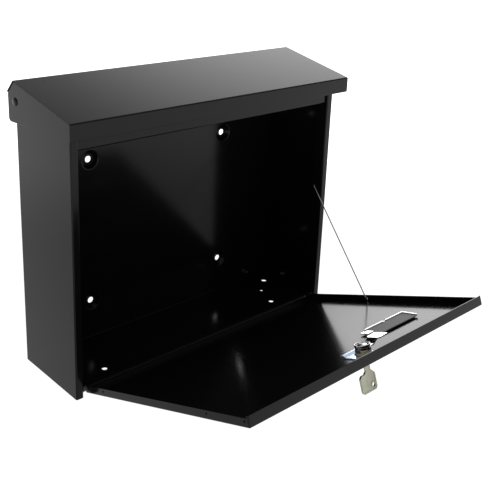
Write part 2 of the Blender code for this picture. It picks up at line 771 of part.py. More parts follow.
def make_lock_clip(axis):
    """Spring clip: a forked strip that slides into the barrel's grooves, its end sprung up."""
    line = [
        (-0.0085, CLIP_BASE),
        (0.0105, CLIP_BASE),
        (0.0145, CLIP_BASE + 0.0021),
        (0.0180, CLIP_BASE + 0.0013),
    ]
    outline = thickened(rounded(line, BEND, 3), CLIP_SHEET)
    bm = prism(outline, "YZ", *CLIP_ENDS)
    clip = add_object("lock_clip", bm, zinc(), axis)
    fork = BARREL_GROOVE + GAP
    slot = [(-fork, -BEYOND), (fork, -BEYOND)] + arc((0, CLIP_FORK), fork, 0, pi, 12)
    boolean(clip, "DIFFERENCE", prism(slot, "XY", -THROUGH, BEYOND), "fork")


def make_lock_cam(axis):
    """Cranked cam: a ring round the tang, a neck that steps up, and a square end that hooks the rail."""
    line = [
        (-CAM_RING, CAM_BASE),
        (CAM_CRANK, CAM_BASE),
        (CAM_LANDING, CAM_BASE + CAM_RISE),
        (CAM_REACH, CAM_BASE + CAM_RISE),
    ]
    outline = thickened(rounded(line, 0.002, 3), CAM_THICKNESS)
    cam = add_object("lock_cam", prism(outline, "XZ", -CAM_HALF_WIDTH, CAM_HALF_WIDTH), steel(), axis)
    chamfer = 0.0015
    edge = [
        (CAM_LANDING, CAM_NECK),
        (CAM_LANDING + CAM_HALF_WIDTH - CAM_NECK, CAM_HALF_WIDTH),
        (CAM_REACH - chamfer, CAM_HALF_WIDTH),
        (CAM_REACH, CAM_HALF_WIDTH - chamfer),
    ]
    plan = arc((0, 0), CAM_RING, radians(45), radians(315), 16)
    plan += [(x, -y) for x, y in edge] + edge[::-1]
    boolean(cam, "INTERSECT", prism(plan, "XY", 0, BEYOND), "plan")
    hole = PLUG_TANG / 2 + GAP
    boolean(cam, "DIFFERENCE", box((-hole, -hole, 0), (hole, hole, BEYOND)), "square_hole")
    cam.rotation_euler = (0, 0, CAM_DROOP)
    for modifier in cam.modifiers:
        modifier.object.rotation_euler = cam.rotation_euler


def make_cam_washer(axis):
    """Cup washer between the cam and its screw, its wall standing round the screw's head."""
    low = CAM_BASE + CAM_THICKNESS + GAP
    inner = WASHER_RADIUS - WASHER_WALL
    profile = [
        (WASHER_BORE, low),
        (WASHER_RADIUS - 0.0008, low),
        (WASHER_RADIUS, low + 0.0008),
        (WASHER_RADIUS, low + WASHER_HEIGHT),
        (inner, low + WASHER_HEIGHT),
        (inner, low + WASHER_THICKNESS + 0.0006),
        (inner - 0.0006, low + WASHER_THICKNESS),
        (WASHER_BORE, low + WASHER_THICKNESS),
    ]
    add_object("cam_washer", lathe(profile), steel(), axis)


def make_cam_screw(axis):
    """Pan head screw with a cross recess."""
    seat = CAM_BASE + CAM_THICKNESS + GAP + WASHER_THICKNESS + GAP
    top = seat + SCREW_HEAD
    tip = PLUG_TANG_END - SCREW_LENGTH
    profile = [
        (0, tip),
        (SCREW_SHANK, tip),
        (SCREW_SHANK, seat),
        (SCREW_HEAD_RADIUS, seat),
        (SCREW_HEAD_RADIUS, seat + 0.0007),
        (SCREW_HEAD_RADIUS - 0.0006, top - 0.0003),
        (SCREW_HEAD_RADIUS - 0.0018, top),
        (0, top),
    ]
    screw = add_object("cam_screw", lathe(profile, sides=24), steel(), axis)
    arm, half = RECESS_ARM, RECESS_HALF_WIDTH
    across = box((-arm, -half, top - RECESS_DEPTH), (arm, half, top + SHEET))
    boolean(screw, "DIFFERENCE", across, "recess_across")
    along = box((-half, -arm, top - RECESS_DEPTH + GAP / 3), (half, arm, top + SHEET))
    boolean(screw, "DIFFERENCE", along, "recess_along")


def make_key(axis):
    """Flat key with its blade in the plug, a plain neck and a squared bow with a ring hole."""
    blade, neck = KEY_BLADE / 2, KEY_NECK / 2
    left, right = KEY_BOW
    corner = 0.0022
    bow = [
        (neck, KEY_SHOULDER + corner),
        (right - corner, KEY_SHOULDER),
        (right, KEY_SHOULDER - corner),
        (right, KEY_END + corner),
        (right - corner, KEY_END),
        (left + corner, KEY_END),
        (left, KEY_END + corner),
        (left, KEY_SHOULDER - corner),
        (left + corner, KEY_SHOULDER),
        (-neck - corner, KEY_SHOULDER),
        (-neck, KEY_SHOULDER + corner),
    ]
    tip, point = KEY_TIP - 0.0018, 0.0012
    shank = [(-neck, KEY_STOP), (-blade, KEY_STOP), (-blade, tip), (-point, KEY_TIP)]
    shank += [(-x, n) for x, n in shank[::-1]]
    half = KEY_THICKNESS / 2
    key = add_object("key", prism(bow + shank, "XZ", -half, half), nickel_silver(), axis)
    hole = rods([KEY_RING_HOLE], (0, 1, 0), KEY_RING_RADIUS, THROUGH, 20)
    boolean(key, "DIFFERENCE", hole, "ring_hole")


# ---------------------------------------------------------------- wire stay


def open_door_point(x, s, n):
    """Where a point of the door is while the door hangs open."""
    _, y, z = door_point(x, s, n)
    turned = (y * cos(DOOR_OPEN) - z * sin(DOOR_OPEN), y * sin(DOOR_OPEN) + z * cos(DOOR_OPEN))
    return Vector((x, PIN_Y + turned[0], PIN_Z + turned[1]))


def stay_route():
    """The wire's path from behind the right lip, across to the door, and out through its flange."""
    top = Vector((LIP_INNER, STAY_TOP_Y, STAY_TOP_Z))
    low = open_door_point(DOOR_HALF_WIDTH - SHEET, STAY_S, STAY_N)
    tail = Vector((STAY_TAIL, 0, 0))
    inset = Vector((-STAY_INSET, 0, 0))
    leave, arrive = top + inset, low + inset
    run = (arrive - leave).normalized() * STAY_BEND
    return [top + tail, top, leave + run, arrive - run, low, low + tail]


def smooth_route(points, spacing):
    """Points on a smooth curve through these, with the long span between two of them kept straight."""
    ends = [2 * points[0] - points[1]] + points + [2 * points[-1] - points[-2]]
    line = []
    for a, b, c, d in zip(ends, ends[1:], ends[2:], ends[3:]):
        reach = (c - b).length
        straight = reach > 10 * STAY_TAIL
        into = c - b if straight else (c - a).normalized() * reach
        out = c - b if straight else (d - b).normalized() * reach
        steps = max(3, round(reach / spacing))
        for step in range(steps):
            t = step / steps
            line.append(
                (2 * t**3 - 3 * t**2 + 1) * b
                + (t**3 - 2 * t**2 + t) * into
                + (-2 * t**3 + 3 * t**2) * c
                + (t**3 - t**2) * out
            )
    return line + [points[-1]]


def make_wire_stay():
    points = smooth_route(stay_route(), STAY_SPACING)
    curve = bpy.data.curves.new("wire_stay", "CURVE")
    curve.dimensions = "3D"
    curve.bevel_depth = WIRE_RADIUS
    curve.bevel_resolution = 2
    curve.use_fill_caps = True
    curve.materials.append(steel())
    spline = curve.splines.new("POLY")
    spline.points.add(len(points) - 1)
    for slot, point in zip(spline.points, points):
        slot.co = (*point, 1)
    wire = bpy.data.objects.new("wire_stay", curve)
    bpy.context.scene.collection.objects.link(wire)


def make_stay_ferrule(name, tail, parent=None):
    """Crimped sleeve round the wire's tail, in its parent's frame."""
    bore = WIRE_RADIUS + GAP
    start, end = -FERRULE_LENGTH, 0
    bevel = FERRULE_RADIUS - FERRULE_BEVEL
    profile = [
        (bore, start),
        (bevel, start),
        (FERRULE_RADIUS, start + FERRULE_BEVEL),
        (FERRULE_RADIUS, end - FERRULE_BEVEL),
        (bevel, end),
        (bore, end),
    ]
    add_object(name, lathe(profile, "X", tail, 12), steel(), parent)


def make_stay(door_hinge):
    make_wire_stay()
    top = (LIP_INNER + STAY_TAIL, STAY_TOP_Y, STAY_TOP_Z)
    make_stay_ferrule("stay_ferrule_top", top)
    low = door_point(DOOR_HALF_WIDTH - SHEET + STAY_TAIL, STAY_S, STAY_N)
    make_stay_ferrule("stay_ferrule_door", low, door_hinge)


# ---------------------------------------------------------------- assembly


def make_body():
    make_side_panel("left_side_panel", -1)
    make_side_panel("right_side_panel", 1)
    make_back_panel()
    make_bottom_panel()
    make_front_rail()


def make_lid():
    hinge = add_empty("lid_hinge", (0, LID_PIVOT_Y, LID_PIVOT_Z))
    make_lid_cover(hinge)
    for side, word in ((-1, "left"), (1, "right")):
        make_lid_end(f"lid_{word}_end", side, hinge)
        make_lid_rivet(f"lid_{word}_rivet", side, hinge)
        make_lid_spacer(f"lid_{word}_spacer", side)


def make_door():
    hinge = add_empty("door_hinge", (0, PIN_Y, PIN_Z), (DOOR_OPEN, 0, 0))
    make_door_panel(hinge)
    make_name_frame(hinge)
    make_name_back(hinge)
    make_name_window(hinge)
    make_name_card(hinge)
    for side, word in ((-1, "left"), (1, "right")):
        make_door_pin(f"door_{word}_pin", side)
        make_door_washer(f"door_{word}_washer", side)
    return hinge


def make_lock(door_hinge):
    axis = add_empty("lock_axis", door_point(0, LOCK_S, 0), (-pi / 2, 0, 0), door_hinge)
    make_lock_housing(axis)
    make_lock_plug(axis)
    make_lock_clip(axis)
    make_lock_cam(axis)
    make_cam_washer(axis)
    make_cam_screw(axis)
    make_key(axis)


def main():
    clear_scene()
    make_body()
    make_lid()
    door_hinge = make_door()
    make_lock(door_hinge)
    make_stay(door_hinge)


main()
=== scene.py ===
"""Looks of a wall mounted letterbox of black powder-coated sheet steel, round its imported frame.

Metres, X to the right, Y towards the wall, Z up. Sizes are read from the frame where it has them.
"""

import json
from math import atan, cos, pi, radians, sin, tan

import bmesh
import bpy
from mathutils import Matrix, Vector


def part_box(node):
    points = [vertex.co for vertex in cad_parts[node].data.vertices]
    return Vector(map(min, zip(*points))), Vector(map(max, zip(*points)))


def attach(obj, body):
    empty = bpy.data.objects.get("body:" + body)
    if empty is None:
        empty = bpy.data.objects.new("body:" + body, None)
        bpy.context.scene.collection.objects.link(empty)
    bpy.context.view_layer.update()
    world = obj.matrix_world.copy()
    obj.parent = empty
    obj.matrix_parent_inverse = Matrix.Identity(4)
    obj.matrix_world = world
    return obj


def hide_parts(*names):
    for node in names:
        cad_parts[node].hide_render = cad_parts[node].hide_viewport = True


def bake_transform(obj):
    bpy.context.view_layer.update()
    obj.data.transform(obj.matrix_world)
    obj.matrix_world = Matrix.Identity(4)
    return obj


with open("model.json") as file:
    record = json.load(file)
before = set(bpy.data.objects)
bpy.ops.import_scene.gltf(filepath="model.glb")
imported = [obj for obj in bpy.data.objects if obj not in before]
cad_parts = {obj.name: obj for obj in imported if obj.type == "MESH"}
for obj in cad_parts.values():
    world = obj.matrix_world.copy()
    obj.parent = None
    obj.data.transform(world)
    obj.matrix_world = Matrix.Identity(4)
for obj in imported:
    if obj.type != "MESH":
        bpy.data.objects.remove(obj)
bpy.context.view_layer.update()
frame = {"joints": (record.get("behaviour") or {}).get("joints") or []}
joints = {joint["name"]: joint for joint in frame["joints"]}

# ---------------------------------------------------------------- sizes

SHEET = 0.001
GAP = 0.0003
BEND = 0.0016
EDGE = 0.00022
# How far cutters run past the sheet they pass through, and past a whole edge
THROUGH = 0.003
BEYOND = 0.02
NEAR = 1e-5

# Body
side_low, side_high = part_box("right_side_panel")
HALF_WIDTH = side_high.x
LIP_INNER = side_low.x
FRONT = side_low.y
BOTTOM = side_low.z
SIDE_RIDGE_TOP = side_high.z
LIP_DEPTH = 0.0165
LIP_RETURN = 0.005
SIDE_FRONT_TOP = 0.161
SIDE_RIDGE_Y = -0.014
SIDE_BACK_TOP = 0.1665
LIP_TOP = 0.1495
NOTCH_CLEARANCE = 0.0009

# Back, with a stamped stand-off dimple round each wall hole
BACK_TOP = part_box("back_panel")[1].z
WALL_HOLE_X = 0.0963
WALL_HOLE_Z = 0.0842
WALL_HOLE_RADIUS = 0.0036
DIMPLE_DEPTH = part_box("back_panel")[1].y
DIMPLE_FOOT_RADIUS = 0.0105
DIMPLE_FACE_RADIUS = 0.0072
DIMPLE_BEND = 0.0011
DIMPLE_APRON = 0.0012

# Floor and front rail
FLOOR_LIP_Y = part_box("bottom_panel")[0].y
FLOOR_LIP_HEIGHT = 0.009
FLOOR_FLANGE_HEIGHT = 0.012
FLOOR_RELIEF_INSET = 0.003
FLOOR_HOLES = ((0.126, -0.069, 0.0030), (0.1375, -0.0395, 0.0019), (0.161, -0.020, 0.0032))
rail_low, rail_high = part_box("front_rail")

# Lid, its rivets and the spacers on them
cover_low, cover_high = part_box("lid_cover")
LID_FRONT_TOP = 0.1622
LID_RIDGE_Y = -0.0115
LID_RIDGE = 0.184
LID_BACK = 0.171
LID_END_BACK_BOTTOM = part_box("lid_left_end")[0].z
LID_END_INSET = 0.0008
LID_END_BACK_INSET = 0.0006
LID_END_PEAK_INSET = 0.0004
LID_END_FOOT_INSET = 0.0008
LID_END_CORNER = 0.004
LID_PIVOT = Vector(joints["lid_hinge"]["pos_m"])
RIVET_HOLE = 0.00225
RIVET_RADIUS = 0.0019
RIVET_HEAD = (0.0043, 0.0017)
RIVET_TAIL = (0.0034, 0.0013)
SPACER_BORE = 0.0023
SPACER_RADIUS = 0.0045
SPACER_RIM = 0.0004

# Door: s runs up the shut door from its lower edge, n runs inwards from its outer face
DOOR_HALF_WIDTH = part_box("door_panel")[1].x
DOOR_LENGTH = 0.2530
DOOR_SIDE_FLANGE = 0.0081
DOOR_TOP_FLANGE = 0.0102
DOOR_HINGE_FLANGE = 0.0050
DOOR_RIM_INSET = 0.0009
DOOR_BEND = 0.0014
DOOR_PIVOT = Vector(joints["door_hinge"]["pos_m"])
DOOR_OPEN = radians(joints["door_hinge"]["range_deg"][1])
PIN_S = 0.0033
PIN_N = 0.0055
PIN_HOLE = 0.0016
PIN_RADIUS = 0.00125
PIN_HEAD = (0.0020, 0.001)
PIN_WASHER_RADIUS = 0.0026
PIN_WASHER_RIM = 0.0003
FLANGE_HOLES_S = (0.036, 0.200, 0.248)
FLANGE_HOLE_N = 0.0053
FLANGE_HOLE_RADIUS = 0.0012
STAY_S = 0.099
STAY_N = 0.0040

DOOR_PLACE = Matrix.Translation(DOOR_PIVOT) @ Matrix.Rotation(DOOR_OPEN, 4, "X")


def door_point(x, s, n):
    """A point of the door in its hinge's frame: s up the shut door, n inwards from its outer face."""
    return Vector((x, n - PIN_N, s - PIN_S))


# Lock. Its frame has X across the door, Y down it and Z inwards along the lock's axis.
LOCK_PLACE = Matrix.Translation(Vector(joints["lock_turn"]["pos_m"]))
LOCK_PLACE = LOCK_PLACE @ Matrix.Rotation(DOOR_OPEN - pi / 2, 4, "X")
LOCK_S = 0.231
LOCK_HEAD_RADIUS = 0.0095
LOCK_HEAD = 0.004
LOCK_HEAD_ROUND = 0.0014
LOCK_BEVEL = 0.0003
BARREL_RADIUS = 0.0079
BARREL_FLAT = 0.0072
BARREL_GROOVE = 0.0064
BARREL_END = 0.0074
THREAD_PITCH = 0.0008
THREAD_DEPTH = 0.00022
THREAD_RUNOUT = 0.0004
PLUG_RADIUS = 0.0049
PLUG_BORE = 0.00525
PLUG_ROUND = 0.0006
PLUG_TANG = 0.0056
PLUG_TANG_END = 0.0098
CAM_THICKNESS = 0.0012
CAM_BASE = 0.0077
CAM_RISE = 0.0033
CAM_REACH = 0.0330
CAM_HALF_WIDTH = 0.0076
CAM_RING = 0.0075
CAM_NECK = 0.0055
CAM_CRANK = 0.0105
CAM_LANDING = 0.0180
CAM_BEND = 0.002
CAM_CORNER = 0.0015
CAM_DROOP = radians(6)
WASHER_RADIUS = 0.0077
WASHER_BORE = 0.0042
WASHER_THICKNESS = 0.001
WASHER_WALL = 0.0009
WASHER_HEIGHT = 0.0030
WASHER_FOOT = 0.0008
WASHER_FILLET = 0.0006
WASHER_ROUND = 0.0004
SCREW_HEAD_RADIUS = 0.0048
SCREW_HEAD = 0.0019
SCREW_RIM = 0.0005
SCREW_SHANK = 0.0015
SCREW_LENGTH = 0.0028
SCREW_HOLE_DEPTH = 0.0031
RECESS_ARM = 0.0021
RECESS_HALF_WIDTH = 0.0005
RECESS_DEPTH = 0.0011
CLIP_ENDS = (-0.0135, 0.0108)
CLIP_SHEET = 0.0008
CLIP_BASE = SHEET + GAP
CLIP_FORK = 0.0035

# Key
KEY_THICKNESS = 0.002
KEY_BLADE = 0.0068
KEY_NECK = 0.0076
KEY_STOP = -0.0058
KEY_TIP = 0.0048
KEY_POINT_LENGTH = 0.0018
KEY_POINT_HALF_WIDTH = 0.0012
KEY_GROOVE_START = KEY_STOP - 0.006
KEY_GROOVE_HALF_WIDTH = 0.0006
KEY_GROOVE_DEPTH = 0.0004
KEY_SHOULDER = -0.0157
KEY_END = -0.0332
KEY_BOW = (-0.0125, 0.0085)
KEY_CORNER = 0.0022
KEY_ROUND = 0.0012
KEY_RIM = 0.0017
KEY_PANEL_ROUND = 0.001
KEY_PANEL_DEPTH = 0.00025
KEY_RING_HOLE = (0.0040, 0, -0.0280)
KEY_RING_RADIUS = 0.0021
KEY_RING_RIM = 0.0012
KEY_RING_STEP = 0.00005

# Name holder, to the right of the lock
NAME_X = 0.0900
NAME_S = 0.1945
NAME_HOLE = (0.0588, 0.0176)
NAME_HOLE_CORNER = 0.0004
NAME_BEZEL = (0.0660, 0.0250)
NAME_WINDOW = (0.0530, 0.0118)
NAME_BACK = (0.0640, 0.0243)
NAME_BACK_FOOT = 0.1832
NAME_BACK_TAPER = 0.0055
NAME_BEZEL_DEPTH = 0.0026
NAME_BEZEL_CORNER = 0.002
NAME_CORNER = 0.0008
NAME_REBATE = 0.0016
NAME_SLEEVE_END = 0.0021
NAME_CARD = 0.0004
NAME_BACK_START = 0.0024
NAME_BACK_FLOOR = 0.0008
NAME_BACK_DEPTH = 0.002
NAME_BACK_RIM = 0.0017
NAME_BACK_CORNER = 0.0016
NAME_TRAY_CORNER = 0.0008
# The name tray's metal is dark grey below this level: its sunk floor, and its outer walls, where the
# dark grey is painted shade
NAME_DARK_DEPTH = 0.00005
NAME_DARK_LEVEL = NAME_BACK_START + NAME_BACK_FLOOR + NAME_DARK_DEPTH
NAME_TAB = 0.0085
NAME_TAB_START = 0.002
NAME_TAB_END = 0.012
NAME_NOTCH = 0.004

# Wire stay, from the right lip to the door's right flange
WIRE_RADIUS = 0.00075
WIRE_STRANDS = 6
WIRE_LAY = 0.009
WIRE_GROOVE = 0.1
WIRE_SIDES = 24
WIRE_HOLE = 0.0013
STAY_TOP = Vector((LIP_INNER, FRONT + 0.0120, 0.0255))
STAY_TAIL = 0.0036
STAY_INSET = 0.0012
STAY_BEND = 0.003
STAY_SPACING = 0.0005
FERRULE_RADIUS = 0.0014
FERRULE_LENGTH = 0.0022
FERRULE_BEVEL = 0.0003
FERRULE_ROUND = 0.0004
FERRULE_CRIMP = 0.00018

# Light: the backdrop's direction, and spans over which the room's and the floor's glow change
BACKDROP_TOWARDS = (0.75, 0.62, 0.10)
BACKDROP_EDGE = (0.853, 0.970)
ROOM_GLOW = (0.69, 3.3)
FLOOR_REACH = (0.4, 0.9)
FLOOR_GLOW = (1.0, 1.75)
FLOOR_BRIGHTER_TO = (0.6, -0.8, 0)
FLOOR_FRONT = (0.0, 0.6)
FLOOR_FRONT_GAIN = (1.0, 1.25)
FLOOR_SIZE = 40
FLOOR_DROP = 0.0004

CAMERA_PLACE = (-0.5475, -0.7103, 0.3470)
CAMERA_YAW = radians(41.85)
CAMERA_PITCH = radians(-17.31)
CAMERA_ROLL = radians(1.78)
CAMERA_LENS = 59.57
CAMERA_SENSOR = 36
CAMERA_SHIFT = (0.0547, -0.1717)

# How the noise in a material is spread
PATCH_SCALE = 45
NOISE_SPAN = (0.3, 0.7)
RELIEF_STRENGTH = 0.5
# How sharply the name tray's metal turns to its dark grey, which is painted shade on its outer walls
DARK_EDGE = 0.0001

# ---------------------------------------------------------------- shapes


def arc(centre, radius, start, end, steps):
    """Points on a circle from one angle to another, both ends included."""
    turns = (start + (end - start) * i / steps for i in range(steps + 1))
    return [(centre[0] + radius * cos(t), centre[1] + radius * sin(t)) for t in turns]


def rounded(points, radius, steps=8, closed=False):
    """The line through these points with each corner turned into an arc."""
    line = []
    count = len(points)
    for i, point in enumerate(points):
        corner = Vector(point)
        if not closed and i in (0, count - 1):
            line.append(tuple(corner))
            continue
        to_last = (Vector(points[i - 1]) - corner).normalized()
        to_next = (Vector(points[(i + 1) % count]) - corner).normalized()
        half = to_last.angle(to_next) / 2
        if half > radians(89):
            line.append(tuple(corner))
            continue
        start = corner + to_last * (radius / tan(half))
        centre = corner + (to_last + to_next).normalized() * (radius / sin(half))
        turn = 2 * half - pi
        if to_last.x * to_next.y - to_last.y * to_next.x < 0:
            turn = -turn
        for step in range(steps + 1):
            line.append(tuple(centre + Matrix.Rotation(turn * step / steps, 2) @ (start - centre)))
    return line


def thickened(line, thickness):
    """A closed outline: this line, and the same line set off to its left by the thickness."""
    offset = []
    for i, point in enumerate(line):
        here = Vector(point)
        before = (here - Vector(line[i - 1])).normalized() if i else None
        after = (Vector(line[i + 1]) - here).normalized() if i < len(line) - 1 else None
        along = ((before or after) + (after or before)).normalized()
        left = Vector((-along.y, along.x))
        last = after or before
        stretch = left.dot(Vector((-last.y, last.x)))
        offset.append(tuple(here + left * (thickness / stretch)))
    return list(line) + offset[::-1]


PLANES = {
    "XY": lambda u, v, w: (u, v, w),
    "YZ": lambda u, v, w: (w, u, v),
    "XZ": lambda u, v, w: (u, w, v),
}


def prism(outline, plane, low, high):
    """Extrudes a closed outline in a plane from low to high along the third axis."""
    bm = bmesh.new()
    place = PLANES[plane]
    near = [bm.verts.new(place(u, v, low)) for u, v in outline]
    far = [bm.verts.new(place(u, v, high)) for u, v in outline]
    bm.faces.new(near)
    bm.faces.new(far[::-1])
    for i in range(len(outline)):
        bm.faces.new((near[i], near[i - 1], far[i - 1], far[i]))
    return bm


def box(low, high):
    low, high = Vector(low), Vector(high)
    corners = [(low.x, low.y), (high.x, low.y), (high.x, high.y), (low.x, high.y)]
    return prism(corners, "XY", low.z, high.z)


def rods(places, axis, radius, half_length, sides=40):
    """Cylinders of one size along a unit axis."""
    bm = bmesh.new()
    turn = Vector((0, 0, 1)).rotation_difference(Vector(axis)).to_matrix().to_4x4()
    for place in places:
        matrix = Matrix.Translation(Vector(place)) @ turn
        size = {"radius1": radius, "radius2": radius, "depth": 2 * half_length}
        bmesh.ops.create_cone(bm, cap_ends=True, segments=sides, matrix=matrix, **size)
    return bm


TURNS = {
    "Z": Matrix.Identity(4),
    "X": Matrix.Rotation(pi / 2, 4, "Y"),
    "-X": Matrix.Rotation(-pi / 2, 4, "Y"),
}


def lathe(profile, axis="Z", centre=(0, 0, 0), sides=64):
    """Turns a closed (radius, height) outline about an axis through the centre."""
    bm = bmesh.new()
    rings = []
    for i in range(sides):
        angle = 2 * pi * i / sides
        rings.append([bm.verts.new((r * cos(angle), r * sin(angle), h)) for r, h in profile])
    for i in range(sides):
        ring, last = rings[i], rings[i - 1]
        for j in range(len(profile)):
            bm.faces.new((last[j], last[j - 1], ring[j - 1], ring[j]))
    bmesh.ops.remove_doubles(bm, verts=bm.verts, dist=1e-7)
    place = Matrix.Translation(Vector(centre)) @ TURNS[axis]
    bmesh.ops.transform(bm, matrix=place, verts=bm.verts)
    return bm


def new_object(name, bm):
    bmesh.ops.recalc_face_normals(bm, faces=bm.faces)
    mesh = bpy.data.meshes.new(name)
    bm.to_mesh(mesh)
    bm.free()
    obj = bpy.data.objects.new(name, mesh)
    bpy.context.scene.collection.objects.link(obj)
    return obj


def combined(obj, operation, bm, solver="EXACT"):
    """Cuts or joins a shape given in the object's own frame, and keeps the result."""
    other = new_object("helper", bm)
    modifier = obj.modifiers.new(operation, "BOOLEAN")
    modifier.operation = operation
    modifier.solver = solver
    modifier.object = other
    graph = bpy.context.evaluated_depsgraph_get()
    result = bpy.data.meshes.new_from_object(obj.evaluated_get(graph))
    obj.modifiers.clear()
    spent = obj.data
    obj.data = result
    bpy.data.meshes.remove(spent)
    bpy.data.meshes.remove(other.data)


def cut(obj, bm, solver="EXACT"):
    combined(obj, "DIFFERENCE", bm, solver)


def join(obj, bm):
    combined(obj, "UNION", bm)


def finished(obj, body, looks, slot, nodes, place=None, edge=EDGE, segments=2, angle=35):
    """Rounds the piece's edges, gives it its material and puts it on its body for its CAD nodes.

    A piece that hangs between two bodies, on neither of them, has None for its body.
    """
    obj.data.materials.clear()
    obj.data.materials.append(looks)
    obj.data.shade_smooth()
    obj.data.set_sharp_from_angle(angle=radians(angle))
    if edge:
        bevel = obj.modifiers.new("edges", "BEVEL")
        bevel.width = edge
        bevel.segments = segments
        bevel.limit_method = "ANGLE"
        bevel.angle_limit = radians(angle)
        bevel.use_clamp_overlap = True
        bevel.harden_normals = True
    flat = obj.modifiers.new("flat_faces", "WEIGHTED_NORMAL")
    flat.mode = "FACE_AREA"
    flat.weight = 100
    flat.keep_sharp = True
    if place is not None:
        obj.matrix_world = place
    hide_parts(*nodes)
    if body:
        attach(obj, body)


# ---------------------------------------------------------------- materials


def surface(
    name, base, roughness, metallic=0.0, mottle=0.1, grain=800, depth=2e-5, stretch=(1, 1, 1), **sockets
):
    """A Principled material whose colour, roughness and relief vary with noise in the piece's frame."""
    made = bpy.data.materials.new(name)
    made.use_nodes = True
    nodes, links = made.node_tree.nodes, made.node_tree.links
    shader = nodes["Principled BSDF"]
    shader.inputs["Metallic"].default_value = metallic
    for socket, value in sockets.items():
        shader.inputs[socket.replace("_", " ")].default_value = value
    where = nodes.new("ShaderNodeTexCoord").outputs["Object"]
    stretched = nodes.new("ShaderNodeMapping")
    stretched.inputs["Scale"].default_value = stretch
    links.new(where, stretched.inputs["Vector"])

    def noise(vector, scale, detail):
        texture = nodes.new("ShaderNodeTexNoise")
        texture.inputs["Scale"].default_value = scale
        texture.inputs["Detail"].default_value = detail
        links.new(vector, texture.inputs["Vector"])
        return texture.outputs["Fac"]

    def ranged(value, low, high):
        spread = nodes.new("ShaderNodeMapRange")
        spread.inputs["From Min"].default_value, spread.inputs["From Max"].default_value = NOISE_SPAN
        spread.inputs["To Min"].default_value = low
        spread.inputs["To Max"].default_value = high
        links.new(value, spread.inputs["Value"])
        return spread.outputs["Result"]

    patches = noise(where, PATCH_SCALE, 3)
    fine = noise(stretched.outputs["Vector"], grain, 2)
    shade = nodes.new("ShaderNodeMix")
    shade.data_type = "RGBA"
    shade.inputs["A"].default_value = (*(c * (1 - mottle) for c in base), 1)
    shade.inputs["B"].default_value = (*(c * (1 + mottle) for c in base), 1)
    links.new(ranged(patches, 0, 1), shade.inputs["Factor"])
    links.new(shade.outputs["Result"], shader.inputs["Base Color"])
    links.new(ranged(fine, *roughness), shader.inputs["Roughness"])
    relief = nodes.new("ShaderNodeBump")
    relief.inputs["Strength"].default_value = RELIEF_STRENGTH
    relief.inputs["Distance"].default_value = depth
    links.new(fine, relief.inputs["Height"])
    links.new(relief.outputs["Normal"], shader.inputs["Normal"])
    return made


def darkened_below(made, level, dark_colour, roughness):
    """The same metal above a level of the piece's own Y, dark grey and matt below it; on the name
    tray's outer walls that dark grey is painted shade.
    """
    nodes, links = made.node_tree.nodes, made.node_tree.links
    shader = nodes["Principled BSDF"]
    split = nodes.new("ShaderNodeSeparateXYZ")
    links.new(nodes.new("ShaderNodeTexCoord").outputs["Object"], split.inputs["Vector"])
    above = nodes.new("ShaderNodeMapRange")
    above.inputs["From Min"].default_value = level
    above.inputs["From Max"].default_value = level + DARK_EDGE
    links.new(split.outputs["Y"], above.inputs["Value"])
    links.new(above.outputs["Result"], shader.inputs["Metallic"])
    matt = (("RGBA", "Base Color", (*dark_colour, 1)), ("FLOAT", "Roughness", roughness))
    for kind, socket, darkened_value in matt:
        mix = nodes.new("ShaderNodeMix")
        mix.data_type = kind
        mix.inputs["A"].default_value = darkened_value
        links.new(shader.inputs[socket].links[0].from_socket, mix.inputs["B"])
        links.new(above.outputs["Result"], mix.inputs["Factor"])
        links.new(mix.outputs["Result"], shader.inputs[socket])
    return made


powder_coat = surface(
    "powder_coat", (0.003, 0.003, 0.0032), (0.12, 0.18), grain=650, depth=1.2e-5, IOR=1.2
)
rivet_paint = surface("rivet_paint", (0.004, 0.004, 0.0042), (0.22, 0.32), IOR=1.25)
chrome = surface("chrome", (0.78, 0.79, 0.81), (0.05, 0.11), 1.0, mottle=0.03, depth=4e-6)
blue_zinc = surface(
    "blue_zinc", (0.50, 0.60, 0.74), (0.18, 0.32), 1.0, grain=400, depth=8e-6, stretch=(8, 1, 1)
)
bright_steel = surface("bright_steel", (0.66, 0.66, 0.66), (0.07, 0.15), 1.0, depth=8e-6)
wire_steel = surface("wire_steel", (0.26, 0.26, 0.27), (0.14, 0.28), 1.0, depth=1e-5)
# Cream brass tint with its base colour kept dark: the darkness is a painted reflection of the black
# door and interior round the barrel
barrel_brass_painted_reflection = surface(
    "barrel_brass_painted_reflection", (0.24, 0.22, 0.17), (0.08, 0.18), 1.0, mottle=0.3, depth=8e-6
)
nickel_silver = surface(
    "nickel_silver",
    (0.23, 0.23, 0.18),
    (0.26, 0.42),
    1.0,
    mottle=0.25,
    grain=300,
    depth=2e-5,
    stretch=(12, 1, 1),
)
nylon = surface("nylon", (0.03, 0.03, 0.032), (0.42, 0.56))
clear_plastic = surface(
    "clear_plastic",
    (0.92, 0.95, 0.95),
    (0.03, 0.07),
    mottle=0.01,
    depth=2e-6,
    Transmission_Weight=1.0,
    IOR=1.49,
)
# Name tray: dark grey and matt below its sunk floor's level, on the floor and on the outer walls; on
# the walls the dark grey is painted shade
tray_steel_dark_below = darkened_below(
    surface("tray_steel_dark_below", (0.74, 0.75, 0.77), (0.08, 0.14), 1.0, mottle=0.03, depth=4e-6),
    NAME_DARK_LEVEL - PIN_N,
    (0.16, 0.16, 0.16),
    0.75,
)
card_stock = surface("card", (0.74, 0.74, 0.71), (0.72, 0.88), mottle=0.04, grain=2500, depth=2.5e-5)

# ---------------------------------------------------------------- body


